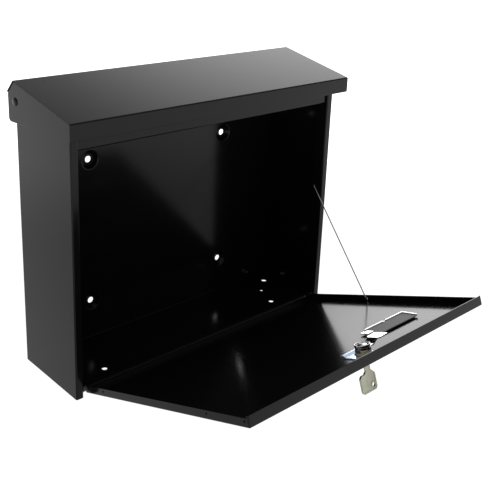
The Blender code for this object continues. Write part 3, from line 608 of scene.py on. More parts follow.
def make_side_panel(name, side):
    """Side sheet with a front flange and a lip turned back twice behind it."""
    line = [
        (HALF_WIDTH, 0),
        (HALF_WIDTH, FRONT),
        (LIP_INNER, FRONT),
        (LIP_INNER, FRONT + LIP_DEPTH),
        (LIP_INNER + LIP_RETURN, FRONT + LIP_DEPTH),
    ]
    outline = [(side * x, y) for x, y in thickened(rounded(line, BEND), -SHEET)]
    panel = new_object(f"{name}_sheet", prism(outline, "XY", BOTTOM, SIDE_RIDGE_TOP + BEYOND))
    top = SIDE_RIDGE_TOP + 2 * BEYOND
    above = [
        (FRONT - BEYOND, SIDE_FRONT_TOP),
        (FRONT, SIDE_FRONT_TOP),
        (SIDE_RIDGE_Y, SIDE_RIDGE_TOP),
        (0, SIDE_BACK_TOP),
        (BEYOND, SIDE_BACK_TOP - BEYOND),
        (BEYOND, top),
        (FRONT - BEYOND, top),
    ]
    wide = sorted((side * (LIP_INNER - BEYOND), side * (HALF_WIDTH + BEYOND)))
    cut(panel, prism(above, "YZ", *wide))
    notch_wall = HALF_WIDTH - SHEET - NOTCH_CLEARANCE
    inner, outer = sorted((side * (LIP_INNER - BEYOND), side * notch_wall))
    cut(panel, box((inner, FRONT - BEYOND, LIP_TOP), (outer, FRONT + LIP_DEPTH + THROUGH, top)))
    across = (1, 0, 0)
    cut(panel, rods([(side * HALF_WIDTH, LID_PIVOT.y, LID_PIVOT.z)], across, RIVET_HOLE, THROUGH))
    cut(panel, rods([(side * LIP_INNER, DOOR_PIVOT.y, DOOR_PIVOT.z)], across, PIN_HOLE, THROUGH))
    if side > 0:
        cut(panel, rods([STAY_TOP], across, WIRE_HOLE, THROUGH, 24))
    finished(panel, "body", powder_coat, "powder_coat", [name])


def make_back_panel():
    """Flat sheet with a dished stand-off pressed out round each wall hole."""
    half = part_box("back_panel")[1].x
    bm = bmesh.new()
    corners = [(-half, BOTTOM), (half, BOTTOM), (half, BACK_TOP), (-half, BACK_TOP)]
    loops = [[bm.verts.new((x, 0, z)) for x, z in corners]]
    foot = DIMPLE_FOOT_RADIUS + DIMPLE_APRON
    centres = [(x, z) for x in (-WALL_HOLE_X, WALL_HOLE_X) for z in (-WALL_HOLE_Z, WALL_HOLE_Z)]
    slope = [
        (foot, 0),
        (DIMPLE_FOOT_RADIUS, 0),
        (DIMPLE_FACE_RADIUS, DIMPLE_DEPTH),
        (WALL_HOLE_RADIUS, DIMPLE_DEPTH),
    ]
    slope = rounded(slope, DIMPLE_BEND, 4)
    turns = [2 * pi * i / 48 for i in range(48)]
    for x, z in centres:
        loops.append([bm.verts.new((x + foot * cos(t), 0, z + foot * sin(t))) for t in turns])
    edges = [bm.edges.new((loop[i - 1], loop[i])) for loop in loops for i in range(len(loop))]
    bmesh.ops.triangle_fill(bm, edges=edges, use_beauty=True)
    for (x, z), ring in zip(centres, loops[1:]):
        for radius, y in slope[1:]:
            after = [bm.verts.new((x + radius * cos(t), y, z + radius * sin(t))) for t in turns]
            for i in range(len(turns)):
                bm.faces.new((ring[i - 1], ring[i], after[i], after[i - 1]))
            ring = after
    bmesh.ops.recalc_face_normals(bm, faces=bm.faces)
    flat = next(face for face in bm.faces if abs(face.normal.y) > 0.999)
    if flat.normal.y < 0:
        bmesh.ops.reverse_faces(bm, faces=bm.faces)
    mesh = bpy.data.meshes.new("back_sheet")
    bm.to_mesh(mesh)
    bm.free()
    panel = bpy.data.objects.new("back_sheet", mesh)
    bpy.context.scene.collection.objects.link(panel)
    solid = panel.modifiers.new("thickness", "SOLIDIFY")
    solid.thickness = SHEET
    solid.offset = -1
    solid.use_even_offset = True
    finished(panel, "body", powder_coat, "powder_coat", ["back_panel"], angle=50)


def make_bottom_panel():
    """Floor sheet with a lip behind the door, a weld flange at the back and drain holes."""
    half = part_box("bottom_panel")[1].x
    line = [
        (FLOOR_LIP_Y, BOTTOM + FLOOR_LIP_HEIGHT),
        (FLOOR_LIP_Y, BOTTOM),
        (-SHEET - GAP, BOTTOM),
        (-SHEET - GAP, BOTTOM + FLOOR_FLANGE_HEIGHT),
    ]
    panel = new_object("floor_sheet", prism(thickened(rounded(line, BEND), SHEET), "YZ", -half, half))
    relief_back = FRONT + LIP_DEPTH + SHEET
    for side in (-1, 1):
        inner, outer = sorted((side * (LIP_INNER - FLOOR_RELIEF_INSET), side * (half + BEYOND)))
        cut(panel, box((inner, FRONT - BEYOND, BOTTOM - BEYOND), (outer, relief_back, BOTTOM + BEYOND)))
    for x, y, radius in FLOOR_HOLES:
        cut(panel, rods([(-x, y, BOTTOM), (x, y, BOTTOM)], (0, 0, 1), radius, THROUGH))
    finished(panel, "body", powder_coat, "powder_coat", ["bottom_panel"])


def make_front_rail():
    """Cross rail with its lower and upper edges turned back."""
    line = [
        (rail_high.y, rail_low.z),
        (rail_low.y, rail_low.z),
        (rail_low.y, rail_high.z),
        (rail_high.y, rail_high.z),
    ]
    outline = thickened(rounded(line, BEND), -SHEET)
    rail = new_object("cross_rail", prism(outline, "YZ", rail_low.x, rail_high.x))
    finished(rail, "body", powder_coat, "powder_coat", ["front_rail"])


# ---------------------------------------------------------------- lid


def make_lid_cover():
    """Folded cover: front skirt, long slope and short rear slope."""
    line = [
        (cover_low.y, cover_low.z),
        (cover_low.y, LID_FRONT_TOP),
        (LID_RIDGE_Y, LID_RIDGE),
        (cover_high.y, LID_BACK),
    ]
    outline = thickened(rounded(line, BEND), -SHEET)
    cover = new_object("lid_shell", prism(outline, "YZ", cover_low.x, cover_high.x))
    finished(cover, "lid", powder_coat, "powder_coat", ["lid_cover"])


def make_lid_end(name, side):
    """End plate welded under the cover."""
    step = SHEET + GAP
    front = cover_low.y + step
    back = cover_high.y - LID_END_BACK_INSET
    slope = (LID_RIDGE - LID_FRONT_TOP) / (LID_RIDGE_Y - cover_low.y)
    chamfer = (LID_RIDGE - LID_BACK) / (cover_high.y - LID_RIDGE_Y)
    under_slope = LID_FRONT_TOP - step / cos(atan(slope))
    under_chamfer = LID_RIDGE - step / cos(atan(chamfer))
    peak_y = LID_RIDGE_Y - LID_END_PEAK_INSET
    foot = [
        (front, cover_low.z + LID_END_FOOT_INSET),
        (back, LID_END_BACK_BOTTOM),
        (back, under_chamfer - chamfer * (back - LID_RIDGE_Y)),
    ]
    crown = [
        (peak_y, min(under_slope + slope * (peak_y - cover_low.y), under_chamfer)),
        (front, under_slope + slope * step),
    ]
    outer = cover_high.x - LID_END_INSET
    span = sorted((side * (outer - SHEET), side * outer))
    plate = new_object(f"{name}_plate", prism(rounded(foot, LID_END_CORNER) + crown, "YZ", *span))
    cut(plate, rods([(side * outer, LID_PIVOT.y, LID_PIVOT.z)], (1, 0, 0), RIVET_HOLE, THROUGH))
    finished(plate, "lid", powder_coat, "powder_coat", [name])


def dome(radius, height, base, steps=12):
    """Section of a domed head, from its rim to its crown."""
    turns = (pi / 2 * i / steps for i in range(steps + 1))
    return [(radius * cos(t), base + height * sin(t)) for t in turns]


def rivet_section(radius, tail, inside, head, outside):
    """Section of a rivet: its set tail, its shank and its domed head."""
    set_over = [(r, 2 * inside - level) for r, level in dome(*tail, inside)]
    return set_over[::-1] + [(radius, inside), (radius, outside)] + dome(*head, outside)


def ring_section(bore, radius, rim, low, high):
    """Section of a ring whose two outer rims are bevelled."""
    below = [(bore, low), (radius - rim, low), (radius, low + rim)]
    return below + [(radius, high - rim), (radius - rim, high), (bore, high)]


def outward(side):
    return "X" if side > 0 else "-X"


def make_lid_rivet(name, side):
    """Domed rivet head outside, set over inside the side panel."""
    seat = cover_high.x - LID_END_INSET + EDGE / 2
    inside = HALF_WIDTH - SHEET - EDGE / 2
    section = rivet_section(RIVET_RADIUS, RIVET_TAIL, inside, RIVET_HEAD, seat)
    centre = (0, LID_PIVOT.y, LID_PIVOT.z)
    rivet = new_object(f"{name}_head", lathe(section, outward(side), centre, 40))
    finished(rivet, "lid", rivet_paint, "rivet_paint", [name], edge=0)


def make_lid_spacer(name, side):
    """Nylon bush between the end plate and the side panel."""
    low, high = HALF_WIDTH + EDGE / 2, cover_high.x - LID_END_INSET - SHEET - EDGE / 2
    section = ring_section(SPACER_BORE, SPACER_RADIUS, SPACER_RIM, low, high)
    centre = (0, LID_PIVOT.y, LID_PIVOT.z)
    bush = new_object(f"{name}_bush", lathe(section, outward(side), centre, 40))
    finished(bush, "body", nylon, "nylon", [name], edge=0)


# ---------------------------------------------------------------- door


def door_box(low, high):
    """A box between two (x, s, n) corners."""
    return box(door_point(*low), door_point(*high))


def door_slab(centre, size, start, end, corner):
    """A slab with rounded corners in the door's plane, between two n distances."""
    (x, s), (wide, tall) = centre, size
    low, high = door_point(x - wide / 2, s - tall / 2, 0), door_point(x + wide / 2, s + tall / 2, 0)
    points = [(low.x, low.z), (high.x, low.z), (high.x, high.z), (low.x, high.z)]
    return prism(rounded(points, corner, 6, closed=True), "XZ", start - PIN_N, end - PIN_N)


def make_door_panel():
    """Pan pressed from one sheet: its flanges turn in on four sides, the top one deeper."""
    bm = door_box((-DOOR_HALF_WIDTH, 0, 0), (DOOR_HALF_WIDTH, DOOR_LENGTH, DOOR_TOP_FLANGE))
    bend = [e for e in bm.edges if all(abs(v.co.y + PIN_N) < NEAR for v in e.verts)]
    corner = [e for e in bm.edges if abs(e.verts[0].co.y - e.verts[1].co.y) > NEAR]
    bmesh.ops.bevel(bm, geom=bend + corner, offset=DOOR_BEND, segments=8, profile=0.5, affect="EDGES")
    door = new_object("door_pan", bm)
    wall = DOOR_HALF_WIDTH - SHEET
    bm = door_box((-wall, SHEET, SHEET), (wall, DOOR_LENGTH - SHEET, BEYOND))
    floor = [e for e in bm.edges if all(abs(v.co.y - SHEET + PIN_N) < NEAR for v in e.verts)]
    bmesh.ops.bevel(bm, geom=floor, offset=DOOR_BEND - SHEET, segments=4, profile=0.5, affect="EDGES")
    cut(door, bm)
    far = DOOR_LENGTH - SHEET - DOOR_RIM_INSET
    cut(door, door_box((-DOOR_LENGTH, -BEYOND, DOOR_SIDE_FLANGE), (DOOR_LENGTH, far, 2 * BEYOND)))
    cut(door, rods([door_point(0, LOCK_S, 0)], (0, 1, 0), BARREL_RADIUS + GAP, THROUGH, 64))
    cut(door, door_slab((NAME_X, NAME_S), NAME_HOLE, -THROUGH, THROUGH, NAME_HOLE_CORNER))
    across = (1, 0, 0)
    sides = (-DOOR_HALF_WIDTH, DOOR_HALF_WIDTH)
    pins = [door_point(x, PIN_S, PIN_N) for x in sides]
    cut(door, rods(pins, across, PIN_HOLE, THROUGH, 24), "MANIFOLD")
    places = [door_point(-DOOR_HALF_WIDTH, s, FLANGE_HOLE_N) for s in FLANGE_HOLES_S]
    cut(door, rods(places, across, FLANGE_HOLE_RADIUS, THROUGH, 24))
    cut(door, rods([door_point(DOOR_HALF_WIDTH, STAY_S, STAY_N)], across, WIRE_HOLE, THROUGH, 24))
    hinge_rim = (wall, SHEET + DOOR_RIM_INSET, 2 * BEYOND)
    cut(door, door_box((-wall, -BEYOND, DOOR_HINGE_FLANGE), hinge_rim))
    finished(door, "door", powder_coat, "powder_coat", ["door_panel"], DOOR_PLACE)


def make_door_pin(name, side):
    """Hinge rivet through the lip and the door's side flange."""
    inside = DOOR_HALF_WIDTH - SHEET - EDGE / 2
    outside = LIP_INNER + SHEET + EDGE / 2
    section = rivet_section(PIN_RADIUS, PIN_HEAD, inside, PIN_HEAD, outside)
    pin = new_object(f"{name}_rivet", lathe(section, outward(side), DOOR_PIVOT, 32))
    finished(pin, "body", rivet_paint, "rivet_paint", [name], edge=0)


def make_door_washer(name, side):
    """Nylon washer between the door's side flange and the lip."""
    low, high = DOOR_HALF_WIDTH + EDGE / 2, LIP_INNER - EDGE / 2
    section = ring_section(PIN_HOLE, PIN_WASHER_RADIUS, PIN_WASHER_RIM, low, high)
    washer = new_object(f"{name}_ring", lathe(section, outward(side), DOOR_PIVOT, 32))
    finished(washer, "body", nylon, "nylon", [name], edge=0)


# ---------------------------------------------------------------- name holder


def name_slab(size, start, end, corner=NAME_CORNER):
    return door_slab((NAME_X, NAME_S), size, start, end, corner)


def grown(size, by):
    return (size[0] + 2 * by, size[1] + 2 * by)


def back_outline(left, foot, right, head, radius, steps):
    """Four corners in the door's plane, the right end sloping in towards the door's free edge."""
    slope = NAME_BACK_TAPER / NAME_BACK[1]
    points = [(left, foot), (right - slope * (foot - NAME_BACK_FOOT), foot)]
    points += [(right - slope * (head - NAME_BACK_FOOT), head), (left, head)]
    return rounded([(x, s - PIN_S) for x, s in points], radius, steps, closed=True)


def make_name_holder():
    """Bezel, window and card outside; inside, a back plate with a rim on two sides and a tab."""
    front = name_slab(NAME_BEZEL, -NAME_BEZEL_DEPTH, -EDGE / 2, NAME_BEZEL_CORNER)
    bezel = new_object("name_bezel", front)
    join(bezel, name_slab(grown(NAME_HOLE, -GAP), -SHEET, NAME_SLEEVE_END))
    cut(bezel, name_slab(NAME_WINDOW, -THROUGH, THROUGH))
    cut(bezel, name_slab(grown(NAME_WINDOW, NAME_REBATE), -NAME_BEZEL_DEPTH + SHEET, THROUGH))
    finished(bezel, "door", chrome, "chrome", ["name_frame"], DOOR_PLACE, edge=0.0005, segments=4)

    start = -NAME_BEZEL_DEPTH + SHEET + EDGE / 2
    fit = grown(NAME_WINDOW, NAME_REBATE - GAP)
    window = new_object("name_pane", name_slab(fit, start, start + SHEET))
    nodes = ["name_window"]
    finished(window, "door", clear_plastic, "clear_plastic", nodes, DOOR_PLACE, edge=0.0001)
    blank = new_object("name_blank", name_slab(fit, 0, NAME_CARD))
    finished(blank, "door", card_stock, "card", ["name_card"], DOOR_PLACE, edge=0.00005)

    floor, top = NAME_BACK_START + NAME_BACK_FLOOR, NAME_BACK_START + NAME_BACK_DEPTH
    left, foot = NAME_X - NAME_BACK[0] / 2, NAME_BACK_FOOT
    right, head, rim = left + NAME_BACK[0], foot + NAME_BACK[1], NAME_BACK_RIM
    plate = back_outline(left, foot, right, head, NAME_BACK_CORNER, 6)
    back = new_object("name_tray", prism(plate, "XZ", NAME_BACK_START - PIN_N, top - PIN_N))
    far = head + NAME_TAB
    inside = back_outline(left - NAME_TAB, foot + rim, right - rim, far, NAME_TRAY_CORNER, 4)
    cut(back, prism(inside, "XZ", floor - PIN_N, BEYOND))
    tab_low = (left - NAME_TAB, foot + NAME_TAB_START, NAME_BACK_START)
    tab_high = (left + SHEET, foot + NAME_TAB_END, NAME_BACK_START + SHEET)
    join(back, door_box(tab_low, tab_high))
    half = NAME_NOTCH / 2
    notch_high = (NAME_X + half, foot + rim + SHEET, BEYOND)
    cut(back, door_box((NAME_X - half, foot - SHEET, floor + GAP), notch_high))
    # The tray's metal is dark grey below its floor's level, which on its outer walls is painted shade
    finished(back, "door", tray_steel_dark_below, "chrome", ["name_back"], DOOR_PLACE, edge=0.0003, segments=3)


# ---------------------------------------------------------------- lock


def make_lock_housing():
    """Round head with a domed rim, and a threaded barrel with two flats and two clip grooves."""
    head, rim = -GAP - LOCK_HEAD, LOCK_HEAD_ROUND
    profile = [(PLUG_BORE, head + LOCK_BEVEL), (PLUG_BORE + LOCK_BEVEL, head)]
    profile += arc((LOCK_HEAD_RADIUS - rim, head + rim), rim, -pi / 2, 0, 8)
    profile += [(LOCK_HEAD_RADIUS, -EDGE / 2), (BARREL_RADIUS, -EDGE / 2)]
    turns = int((BARREL_END - THREAD_RUNOUT) / THREAD_PITCH)
    for i in range(turns):
        groove = (BARREL_RADIUS - THREAD_DEPTH, (i + 0.5) * THREAD_PITCH)
        profile += [(BARREL_RADIUS, i * THREAD_PITCH), groove]
    profile += [(BARREL_RADIUS, turns * THREAD_PITCH)]
    profile += [(BARREL_RADIUS - LOCK_BEVEL, BARREL_END), (PLUG_BORE, BARREL_END)]
    housing = new_object("lock_barrel", lathe(profile, sides=96))
    for side in (-1, 1):
        inner, outer = sorted((side * BARREL_FLAT, side * BEYOND))
        cut(housing, box((inner, -BEYOND, 0), (outer, BEYOND, BEYOND)))
        inner, outer = sorted((side * BARREL_GROOVE, side * BEYOND))
        cut(housing, box((inner, -BEYOND, SHEET), (outer, BEYOND, CLIP_BASE + CLIP_SHEET + GAP)))
    # The barrel's dark brass colour is partly a painted reflection of the black door round it
    finished(housing, "door", barrel_brass_painted_reflection, "chrome", ["lock_housing"], LOCK_PLACE, edge=0.0001)


def make_lock_plug():
    """Turning plug with the key slot in its face and a square tang for the cam."""
    face, rim, end = -LOCK_HEAD, PLUG_ROUND, BARREL_END - GAP
    profile = [(0, face)] + arc((PLUG_RADIUS - rim, face + rim), rim, -pi / 2, 0, 6)
    plug = new_object("plug_core", lathe(profile + [(PLUG_RADIUS, end), (0, end)]))
    half = PLUG_TANG / 2
    join(plug, box((-half, -half, end - THROUGH), (half, half, PLUG_TANG_END)))
    wide, thick = KEY_BLADE / 2 + 2 * GAP, KEY_THICKNESS / 2 + GAP
    cut(plug, box((-wide, -thick, face - THROUGH), (wide, thick, KEY_TIP + GAP)))
    hole = rods([(0, 0, PLUG_TANG_END)], (0, 0, 1), SCREW_SHANK + GAP, SCREW_HOLE_DEPTH, 32)
    cut(plug, hole)
    finished(plug, "plug", bright_steel, "bright_steel", ["lock_plug"], LOCK_PLACE, edge=0.0002)


def make_lock_clip():
    """Forked spring clip in the barrel's grooves, its end sprung up in a wave."""
    line = [
        (-0.0085, CLIP_BASE),
        (0.0105, CLIP_BASE),
        (0.0145, CLIP_BASE + 0.0021),
        (0.0180, CLIP_BASE + 0.0013),
    ]
    outline = thickened(rounded(line, BEND, 8), CLIP_SHEET)
    clip = new_object("spring_clip", prism(outline, "YZ", *CLIP_ENDS))
    fork = BARREL_GROOVE + GAP
    slot = [(-fork, -BEYOND), (fork, -BEYOND)] + arc((0, CLIP_FORK), fork, 0, pi, 32)
    cut(clip, prism(slot, "XY", -THROUGH, BEYOND))
    finished(clip, "door", blue_zinc, "blue_zinc", ["lock_clip"], LOCK_PLACE)


def make_lock_cam():
    """Cranked cam: a ring on the tang, a neck that steps up and a square end that hooks the rail."""
    line = [
        (-CAM_RING, CAM_BASE),
        (CAM_CRANK, CAM_BASE),
        (CAM_LANDING, CAM_BASE + CAM_RISE),
        (CAM_REACH, CAM_BASE + CAM_RISE),
    ]
    outline = thickened(rounded(line, CAM_BEND, 8), CAM_THICKNESS)
    cam = new_object("cam_hook", prism(outline, "XZ", -CAM_HALF_WIDTH, CAM_HALF_WIDTH))
    edge = [(CAM_LANDING, CAM_NECK), (CAM_LANDING + CAM_HALF_WIDTH - CAM_NECK, CAM_HALF_WIDTH)]
    round_centre = (CAM_REACH - CAM_CORNER, CAM_HALF_WIDTH - CAM_CORNER)
    edge += arc(round_centre, CAM_CORNER, pi / 2, 0, 8)
    plan = arc((0, 0), CAM_RING, radians(45), radians(315), 48)
    plan += [(x, -y) for x, y in edge] + edge[::-1]
    combined(cam, "INTERSECT", prism(plan, "XY", 0, BEYOND))
    hole = PLUG_TANG / 2 + GAP / 2
    cut(cam, box((-hole, -hole, 0), (hole, hole, BEYOND)))
    place = LOCK_PLACE @ Matrix.Rotation(CAM_DROOP, 4, "Z")
    finished(cam, "plug", bright_steel, "bright_steel", ["lock_cam"], place)


def make_cam_washer():
    """Cup washer between the cam and its screw, its wall standing round the screw's head."""
    low = CAM_BASE + CAM_THICKNESS + EDGE / 2
    inner, floor = WASHER_RADIUS - WASHER_WALL, low + WASHER_THICKNESS
    line = [(WASHER_BORE, low), (WASHER_RADIUS - WASHER_FOOT, low)]
    line += [(WASHER_RADIUS, low + WASHER_FOOT), (WASHER_RADIUS, low + WASHER_HEIGHT)]
    line += [(inner, low + WASHER_HEIGHT), (inner, floor + WASHER_FILLET)]
    line += [(inner - WASHER_FILLET, floor), (WASHER_BORE, floor)]
    washer = new_object("cup_washer", lathe(rounded(line, WASHER_ROUND, 5, closed=True)))
    finished(washer, "plug", bright_steel, "bright_steel", ["cam_washer"], LOCK_PLACE, edge=0)


def make_cam_screw():
    """Pan head screw with a cross recess."""
    seat = CAM_BASE + CAM_THICKNESS + GAP + WASHER_THICKNESS + EDGE / 2
    tip = PLUG_TANG_END - SCREW_LENGTH
    profile = [(0, tip), (SCREW_SHANK, tip), (SCREW_SHANK, seat), (SCREW_HEAD_RADIUS, seat)]
    profile += dome(SCREW_HEAD_RADIUS, SCREW_HEAD - SCREW_RIM, seat + SCREW_RIM, 16)
    screw = new_object("pan_screw", lathe(profile))
    top = seat + SCREW_HEAD
    arm, half = RECESS_ARM, RECESS_HALF_WIDTH
    for turn in (0, pi / 2):
        bm = box((-arm, -half, top - RECESS_DEPTH), (arm, half, top + SHEET))
        bmesh.ops.rotate(bm, verts=bm.verts, matrix=Matrix.Rotation(turn, 3, "Z"))
        cut(screw, bm)
    finished(screw, "plug", bright_steel, "bright_steel", ["cam_screw"], LOCK_PLACE, edge=0.0001)


def make_key():
    """Flat key: a grooved blade in the plug, a plain neck and a squared bow with a raised rim."""
    blade, neck = KEY_BLADE / 2, KEY_NECK / 2
    left, right = KEY_BOW
    corner = KEY_CORNER
    bow = [
        (neck, KEY_SHOULDER + corner),
        (right - corner, KEY_SHOULDER),
        (right, KEY_SHOULDER - corner),
        (right, KEY_END + corner),
        (right - corner, KEY_END),
        (left + corner, KEY_END),
        (left, KEY_END + corner),
        (left, KEY_SHOULDER - corner),
        (left + corner, KEY_SHOULDER),
        (-neck - corner, KEY_SHOULDER),
        (-neck, KEY_SHOULDER + corner),
    ]
    shank = [(-neck, KEY_STOP), (-blade, KEY_STOP), (-blade, KEY_TIP - KEY_POINT_LENGTH)]
    shank += [(-KEY_POINT_HALF_WIDTH, KEY_TIP)]
    shank += [(-x, n) for x, n in shank[::-1]]
    half = KEY_THICKNESS / 2
    soft = rounded(bow, KEY_ROUND, 6, closed=True) + shank
    key = new_object("flat_key", prism(soft, "XZ", -half, half))
    far, near = KEY_END + KEY_RIM, KEY_SHOULDER - KEY_RIM
    panel = [(right - KEY_RIM, near), (right - KEY_RIM, far)]
    panel += [(left + KEY_RIM, far), (left + KEY_RIM, near)]
    panel = rounded(panel, KEY_PANEL_ROUND, 6, closed=True)
    for low, high in ((half - KEY_PANEL_DEPTH, BEYOND), (-BEYOND, KEY_PANEL_DEPTH - half)):
        cut(key, prism(panel, "XZ", low, high))
    through = (0, 1, 0)
    ring_radius = KEY_RING_RADIUS + KEY_RING_RIM
    join(key, rods([KEY_RING_HOLE], through, ring_radius, half - KEY_RING_STEP))
    cut(key, rods([KEY_RING_HOLE], through, KEY_RING_RADIUS, THROUGH))
    wide = KEY_GROOVE_HALF_WIDTH
    groove = [(-wide, KEY_GROOVE_START), (wide, KEY_GROOVE_START), (wide, KEY_TIP), (-wide, KEY_TIP)]
    cut(key, prism(groove, "XZ", half - KEY_GROOVE_DEPTH, BEYOND))
    edges = {"edge": 0.00018, "segments": 3}
    finished(key, "key", nickel_silver, "nickel_silver", ["key"], LOCK_PLACE, **edges)


# ---------------------------------------------------------------- wire stay


def stay_route():
    """The wire's path from behind the right lip, across to the door, and out through its flange."""
    low = DOOR_PLACE @ door_point(DOOR_HALF_WIDTH - SHEET, STAY_S, STAY_N)
    tail = Vector((STAY_TAIL, 0, 0))
    inset = Vector((-STAY_INSET, 0, 0))
    leave, arrive = STAY_TOP + inset, low + inset
    run = (arrive - leave).normalized() * STAY_BEND
    return [STAY_TOP + tail, STAY_TOP, leave + run, arrive - run, low, low + tail]


def smooth_route(points, spacing):
    """Points on a smooth curve through these, with the long span between two of them kept straight."""
    ends = [2 * points[0] - points[1]] + points + [2 * points[-1] - points[-2]]
    line = []
    for a, b, c, d in zip(ends, ends[1:], ends[2:], ends[3:]):
        reach = (c - b).length
        straight = reach > 10 * STAY_TAIL
        into = c - b if straight else (c - a).normalized() * reach
        out = c - b if straight else (d - b).normalized() * reach
        steps = max(3, round(reach / spacing))
        for step in range(steps):
            t = step / steps
            line.append(
                (2 * t**3 - 3 * t**2 + 1) * b
                + (t**3 - 2 * t**2 + t) * into
                + (-2 * t**3 + 3 * t**2) * c
                + (t**3 - t**2) * out
            )
    return line + [points[-1]]


def make_wire_stay():
    """Wire rope: a tube whose section has one lobe for each of its strands, twisting along it."""
    route = smooth_route(stay_route(), STAY_SPACING)
    bm = bmesh.new()
    rings, gone, side = [], 0, Vector((0, 0, 1))
    for i, point in enumerate(route):
        along = (route[min(i + 1, len(route) - 1)] - route[max(i - 1, 0)]).normalized()
        side = (side - along * side.dot(along)).normalized()
        over = along.cross(side)
        gone += (point - route[i - 1]).length if i else 0
        twist = 2 * pi * gone / WIRE_LAY
        ring = []
        for k in range(WIRE_SIDES):
            turn = 2 * pi * k / WIRE_SIDES
            lobe = WIRE_GROOVE * cos(WIRE_STRANDS * (turn - twist))
            radius = WIRE_RADIUS * (1 - WIRE_GROOVE + lobe)
            ring.append(bm.verts.new(point + (side * cos(turn) + over * sin(turn)) * radius))
        rings.append(ring)
    for ring, after in zip(rings, rings[1:]):
        for k in range(WIRE_SIDES):
            bm.faces.new((ring[k - 1], ring[k], after[k], after[k - 1]))
    bm.faces.new(rings[0])
    bm.faces.new(rings[-1])
    rope = new_object("stay_rope", bm)
    finished(rope, None, wire_steel, "bright_steel", ["wire_stay"], edge=0)
    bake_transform(rope)


def make_ferrule(name, tail, body, place=None):
    """Sleeve crimped in two places round the wire's end."""
    bore, length, outer = WIRE_RADIUS, FERRULE_LENGTH, FERRULE_RADIUS
    waist = outer - FERRULE_CRIMP
    profile = [(bore, -length), (outer - FERRULE_BEVEL, -length), (outer, -length + FERRULE_BEVEL)]
    profile += [(outer, -0.75 * length), (waist, -0.65 * length), (outer, -0.5 * length)]
    profile += [(waist, -0.35 * length), (outer, -0.25 * length)]
    profile += arc((outer - FERRULE_ROUND, -FERRULE_ROUND), FERRULE_ROUND, 0, pi / 2, 4)
    profile += [(bore, 0)]
    sleeve = new_object(f"{name}_sleeve", lathe(profile, "X", tail, 32))
    finished(sleeve, body, bright_steel, "bright_steel", [name], place, edge=0)


# ---------------------------------------------------------------- studio


def eased(nodes, links, value, span, values):
    """A value that eases from one to the other as another crosses a span."""
    ramp = nodes.new("ShaderNodeMapRange")
    ramp.interpolation_type = "SMOOTHSTEP"
    ramp.inputs["From Min"].default_value, ramp.inputs["From Max"].default_value = span
    ramp.inputs["To Min"].default_value, ramp.inputs["To Max"].default_value = values
    links.new(value, ramp.inputs["Value"])
    return ramp.outputs["Result"]


def ramp_along(nodes, links, where, direction, span, values):
    """A value that eases from one to the other as a place moves along a direction."""
    along = nodes.new("ShaderNodeVectorMath")
    along.operation = "DOT_PRODUCT"
    along.inputs[1].default_value = Vector(direction).normalized()
    links.new(where, along.inputs[0])
    return eased(nodes, links, along.outputs["Value"], span, values)


def make_floor():
    """White seamless floor that glows more strongly away from the box, most of all in front of it."""
    bpy.ops.mesh.primitive_plane_add(size=FLOOR_SIZE, location=(0, 0, BOTTOM - FLOOR_DROP))
    floor = bpy.context.object
    floor.name = "floor"
    paper = bpy.data.materials.new("seamless")
    paper.use_nodes = True
    nodes, links = paper.node_tree.nodes, paper.node_tree.links
    shader = nodes["Principled BSDF"]
    shader.inputs["Base Color"].default_value = (0.1, 0.1, 0.1, 1)
    shader.inputs["Roughness"].default_value = 0.9
    shader.inputs["Specular IOR Level"].default_value = 0
    shader.inputs["Emission Color"].default_value = (1, 1, 1, 1)
    where = nodes.new("ShaderNodeTexCoord").outputs["Object"]
    away = nodes.new("ShaderNodeVectorMath")
    away.operation = "LENGTH"
    links.new(where, away.inputs[0])
    gain = nodes.new("ShaderNodeMath")
    gain.operation = "MULTIPLY"
    links.new(eased(nodes, links, away.outputs["Value"], FLOOR_REACH, FLOOR_GLOW), gain.inputs[0])
    front = ramp_along(nodes, links, where, FLOOR_BRIGHTER_TO, FLOOR_FRONT, FLOOR_FRONT_GAIN)
    links.new(front, gain.inputs[1])
    links.new(gain.outputs["Value"], shader.inputs["Emission Strength"])
    floor.data.materials.append(paper)


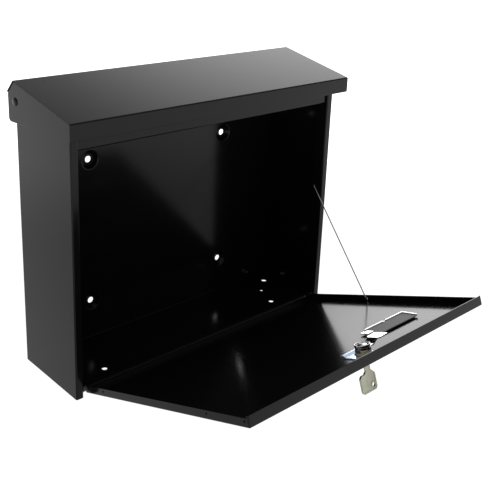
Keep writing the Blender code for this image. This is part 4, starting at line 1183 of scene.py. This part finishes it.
def make_world():
    """White room, much brighter towards the backdrop behind the box on its right."""
    world = bpy.data.worlds.new("studio")
    world.use_nodes = True
    nodes, links = world.node_tree.nodes, world.node_tree.links
    sky = nodes["Background"]
    sky.inputs["Color"].default_value = (1, 1, 1, 1)
    where = nodes.new("ShaderNodeTexCoord").outputs["Generated"]
    glow = ramp_along(nodes, links, where, BACKDROP_TOWARDS, BACKDROP_EDGE, ROOM_GLOW)
    links.new(glow, sky.inputs["Strength"])
    bpy.context.scene.world = world
    bpy.context.scene.view_settings.view_transform = "Standard"


def make_camera():
    """Looks down on the box from its left front, with the frame shifted to take in the door."""
    yaw, pitch, roll = CAMERA_YAW, CAMERA_PITCH, CAMERA_ROLL
    forward = Vector((sin(yaw) * cos(pitch), cos(yaw) * cos(pitch), sin(pitch)))
    level = Vector((cos(yaw), -sin(yaw), 0))
    upright = level.cross(forward)
    right = level * cos(roll) + upright * sin(roll)
    up = upright * cos(roll) - level * sin(roll)
    data = bpy.data.cameras.new("camera")
    data.lens = CAMERA_LENS
    data.sensor_width = CAMERA_SENSOR
    data.shift_x, data.shift_y = CAMERA_SHIFT
    data.clip_start = 0.05
    data.dof.use_dof = False
    camera = bpy.data.objects.new("camera", data)
    bpy.context.scene.collection.objects.link(camera)
    camera.location = CAMERA_PLACE
    camera.rotation_mode = "QUATERNION"
    camera.rotation_quaternion = Matrix((right, up, -forward)).transposed().to_quaternion()
    bpy.context.scene.camera = camera


def main():
    make_camera()
    make_world()
    make_floor()
    for side, word in ((-1, "left"), (1, "right")):
        make_side_panel(f"{word}_side_panel", side)
        make_lid_end(f"lid_{word}_end", side)
        make_lid_rivet(f"lid_{word}_rivet", side)
        make_lid_spacer(f"lid_{word}_spacer", side)
        make_door_pin(f"door_{word}_pin", side)
        make_door_washer(f"door_{word}_washer", side)
    make_back_panel()
    make_bottom_panel()
    make_front_rail()
    make_lid_cover()
    make_door_panel()
    make_name_holder()
    make_lock_housing()
    make_lock_plug()
    make_lock_clip()
    make_lock_cam()
    make_cam_washer()
    make_cam_screw()
    make_key()
    make_wire_stay()
    make_ferrule("stay_ferrule_top", STAY_TOP + Vector((STAY_TAIL, 0, 0)), "body")
    low = door_point(DOOR_HALF_WIDTH - SHEET + STAY_TAIL, STAY_S, STAY_N)
    make_ferrule("stay_ferrule_door", low, "door", DOOR_PLACE)


main()
